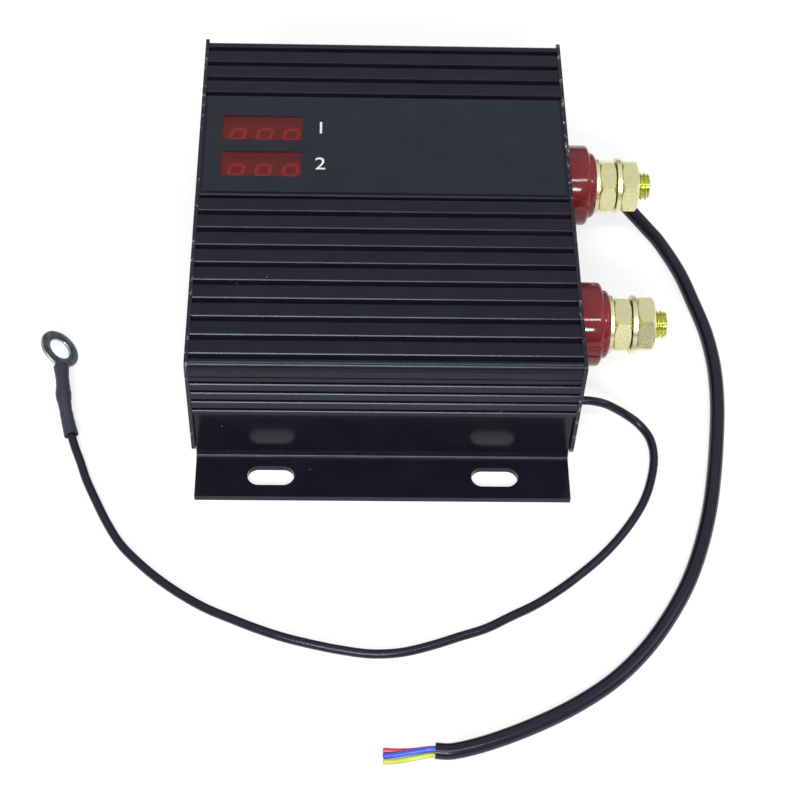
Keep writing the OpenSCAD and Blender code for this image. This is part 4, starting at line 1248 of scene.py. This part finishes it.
@dataclass
class Studio:
    """Camera, lamps, pale world and white floor.

    The camera's angles are in degrees and its lens is in millimetres, and all other lengths are in
    metres. A lamp is its place, its width and height, and its power in watts. Between the two
    mirror heights the world in gloss rises from the horizon's strength to the zenith's, and between
    the two glow distances the floor's glow rises to full white.
    """

    lens: float = 84.6963
    position: tuple = (-0.0119537, -0.3473069, 0.4201897)
    yaw: float = 3.13157
    elevation: float = 53.57666
    roll: float = 3.02565
    sensor_mm: float = 36.0
    clip: tuple = (0.01, 50.0)
    white: tuple = (1.0, 1.0, 1.0, 1.0)
    ambient: float = 0.45
    floor_glow: float = 0.66
    horizon: float = 0.15
    zenith: float = 0.8
    mirror_heights: tuple = (0.05, 0.6)
    floor_tone: float = 0.45
    floor_half: float = 3.0
    floor_z: float = -0.00015
    glow_distances: tuple = (0.35, 0.95)
    aim: tuple = (0.0, 0.0, 0.03)
    lamps: dict = field(default_factory=lambda: {
        "front_strip": ((-0.18, -1.28, 0.97), (0.83, 0.16), 15.0),
        "high_strip": ((0.05, -0.74, 1.42), (1.1, 0.12), 7.5),
        "right_fill": ((1.3, -0.2, 1.1), (0.8, 0.8), 3.0)})

    def camera(self) -> None:
        """Makes the camera: it looks along (sin yaw cos el, cos yaw cos el, -sin el), rolled."""
        yaw, el, roll = (math.radians(v) for v in (self.yaw, self.elevation, self.roll))
        ahead = Vector((math.sin(yaw) * math.cos(el), math.cos(yaw) * math.cos(el), -math.sin(el)))
        level = Vector((math.cos(yaw), -math.sin(yaw), 0.0))
        up = level.cross(ahead)
        right = math.cos(roll) * level + math.sin(roll) * up
        top = -math.sin(roll) * level + math.cos(roll) * up
        data = bpy.data.cameras.new("camera")
        data.sensor_fit, data.sensor_width, data.lens = "HORIZONTAL", self.sensor_mm, self.lens
        data.clip_start, data.clip_end = self.clip
        item = bpy.data.objects.new("camera", data)
        turn = Matrix((right, top, -ahead)).transposed().to_4x4()
        item.matrix_world = Matrix.Translation(self.position) @ turn
        bpy.context.scene.collection.objects.link(item)
        bpy.context.scene.camera = item

    def lamp(self, name: str, at: tuple, size: tuple, power: float) -> None:
        """Makes a rectangular lamp that faces the object.

        Args:
            name: The lamp's name.
            at: Its centre in metres.
            size: Its width and height.
            power: Its power in watts.
        """
        data = bpy.data.lights.new(name, "AREA")
        data.shape, data.size, data.size_y, data.energy = "RECTANGLE", size[0], size[1], power
        item = bpy.data.objects.new(name, data)
        ahead = Vector(self.aim) - Vector(at)
        item.matrix_world = Matrix.Translation(at) @ ahead.to_track_quat("-Z", "Y").to_matrix().to_4x4()
        item.visible_camera = False
        bpy.context.scene.collection.objects.link(item)

    def world(self) -> None:
        """Makes the world: white to the camera, dim at the horizon in gloss, and ambient elsewhere."""
        made = bpy.data.worlds.new("studio")
        made.use_nodes = True
        sheet = NodeSheet(made.node_tree)
        path = sheet.add("ShaderNodeLightPath")
        straight = sheet.math("MAXIMUM", path.outputs["Is Camera Ray"], path.outputs["Is Transmission Ray"])
        plain = sheet.ramp(straight, 0.0, 1.0, self.ambient)
        height = sheet.add("ShaderNodeSeparateXYZ", {
            0: sheet.add("ShaderNodeTexCoord").outputs["Generated"]}).outputs["Z"]
        mirrored = sheet.ramp(height, *self.mirror_heights, self.horizon, self.zenith)
        gloss = path.outputs["Is Glossy Ray"]
        strength = sheet.math("ADD", sheet.math("MULTIPLY", mirrored, gloss),
                              sheet.math("MULTIPLY", plain, sheet.math("SUBTRACT", 1.0, gloss)))
        back = sheet.add("ShaderNodeBackground", {"Color": self.white, "Strength": strength})
        sheet.add("ShaderNodeOutputWorld", {"Surface": back.outputs[0]})
        bpy.context.scene.world = made

    def floor(self) -> None:
        """Makes the floor: lit grey, with a glow that only sight, gloss and transmission receive."""
        mesh = bpy.data.meshes.new("floor")
        half, z = self.floor_half, self.floor_z
        corners = [(-half, -half, z), (half, -half, z), (half, half, z), (-half, half, z)]
        mesh.from_pydata(corners, [], [(0, 1, 2, 3)])
        item = bpy.data.objects.new("floor", mesh)
        bpy.context.scene.collection.objects.link(item)
        material = bpy.data.materials.new("floor_white")
        material.use_nodes = True
        sheet = NodeSheet(material.node_tree)
        path = sheet.add("ShaderNodeLightPath")
        bent = sheet.math("MAXIMUM", path.outputs["Is Glossy Ray"], path.outputs["Is Transmission Ray"])
        seen = sheet.math("MAXIMUM", path.outputs["Is Camera Ray"], bent)
        lit = sheet.add("ShaderNodeBsdfDiffuse", {"Color": (*(self.floor_tone,) * 3, 1.0)})
        away = sheet.add("ShaderNodeVectorMath", {
            0: sheet.add("ShaderNodeTexCoord").outputs["Object"]}, operation="LENGTH").outputs["Value"]
        level = sheet.ramp(away, *self.glow_distances, self.floor_glow)
        glow = sheet.add("ShaderNodeEmission", {
            "Color": self.white, "Strength": sheet.math("MULTIPLY", seen, level)})
        both = sheet.add("ShaderNodeAddShader", {0: lit.outputs[0], 1: glow.outputs[0]})
        sheet.add("ShaderNodeOutputMaterial", {"Surface": both.outputs[0]})
        mesh.materials.append(material)

    def build(self) -> None:
        """Makes the whole studio."""
        bpy.context.scene.view_settings.view_transform = "Standard"
        self.world()
        self.floor()
        for name, (at, size, power) in self.lamps.items():
            self.lamp(name, at, size, power)


def main() -> None:
    """Builds the scene: camera and cords first, then the other pieces, the finishes and the studio."""
    logging.basicConfig(level=logging.INFO, format="%(name)s: %(message)s")
    paints = Paints()
    studio = Studio()
    studio.camera()
    EarthLead().build(paints)
    ControlCable().build(paints)
    InnerWires().build(paints)
    PowerTerminals().build(paints)
    DisplayPanel().build(paints)
    CadDressing(frame["record"]["subparts"]).build(paints)
    studio.build()
    log.info("done")


if __name__ == "__main__":
    main()
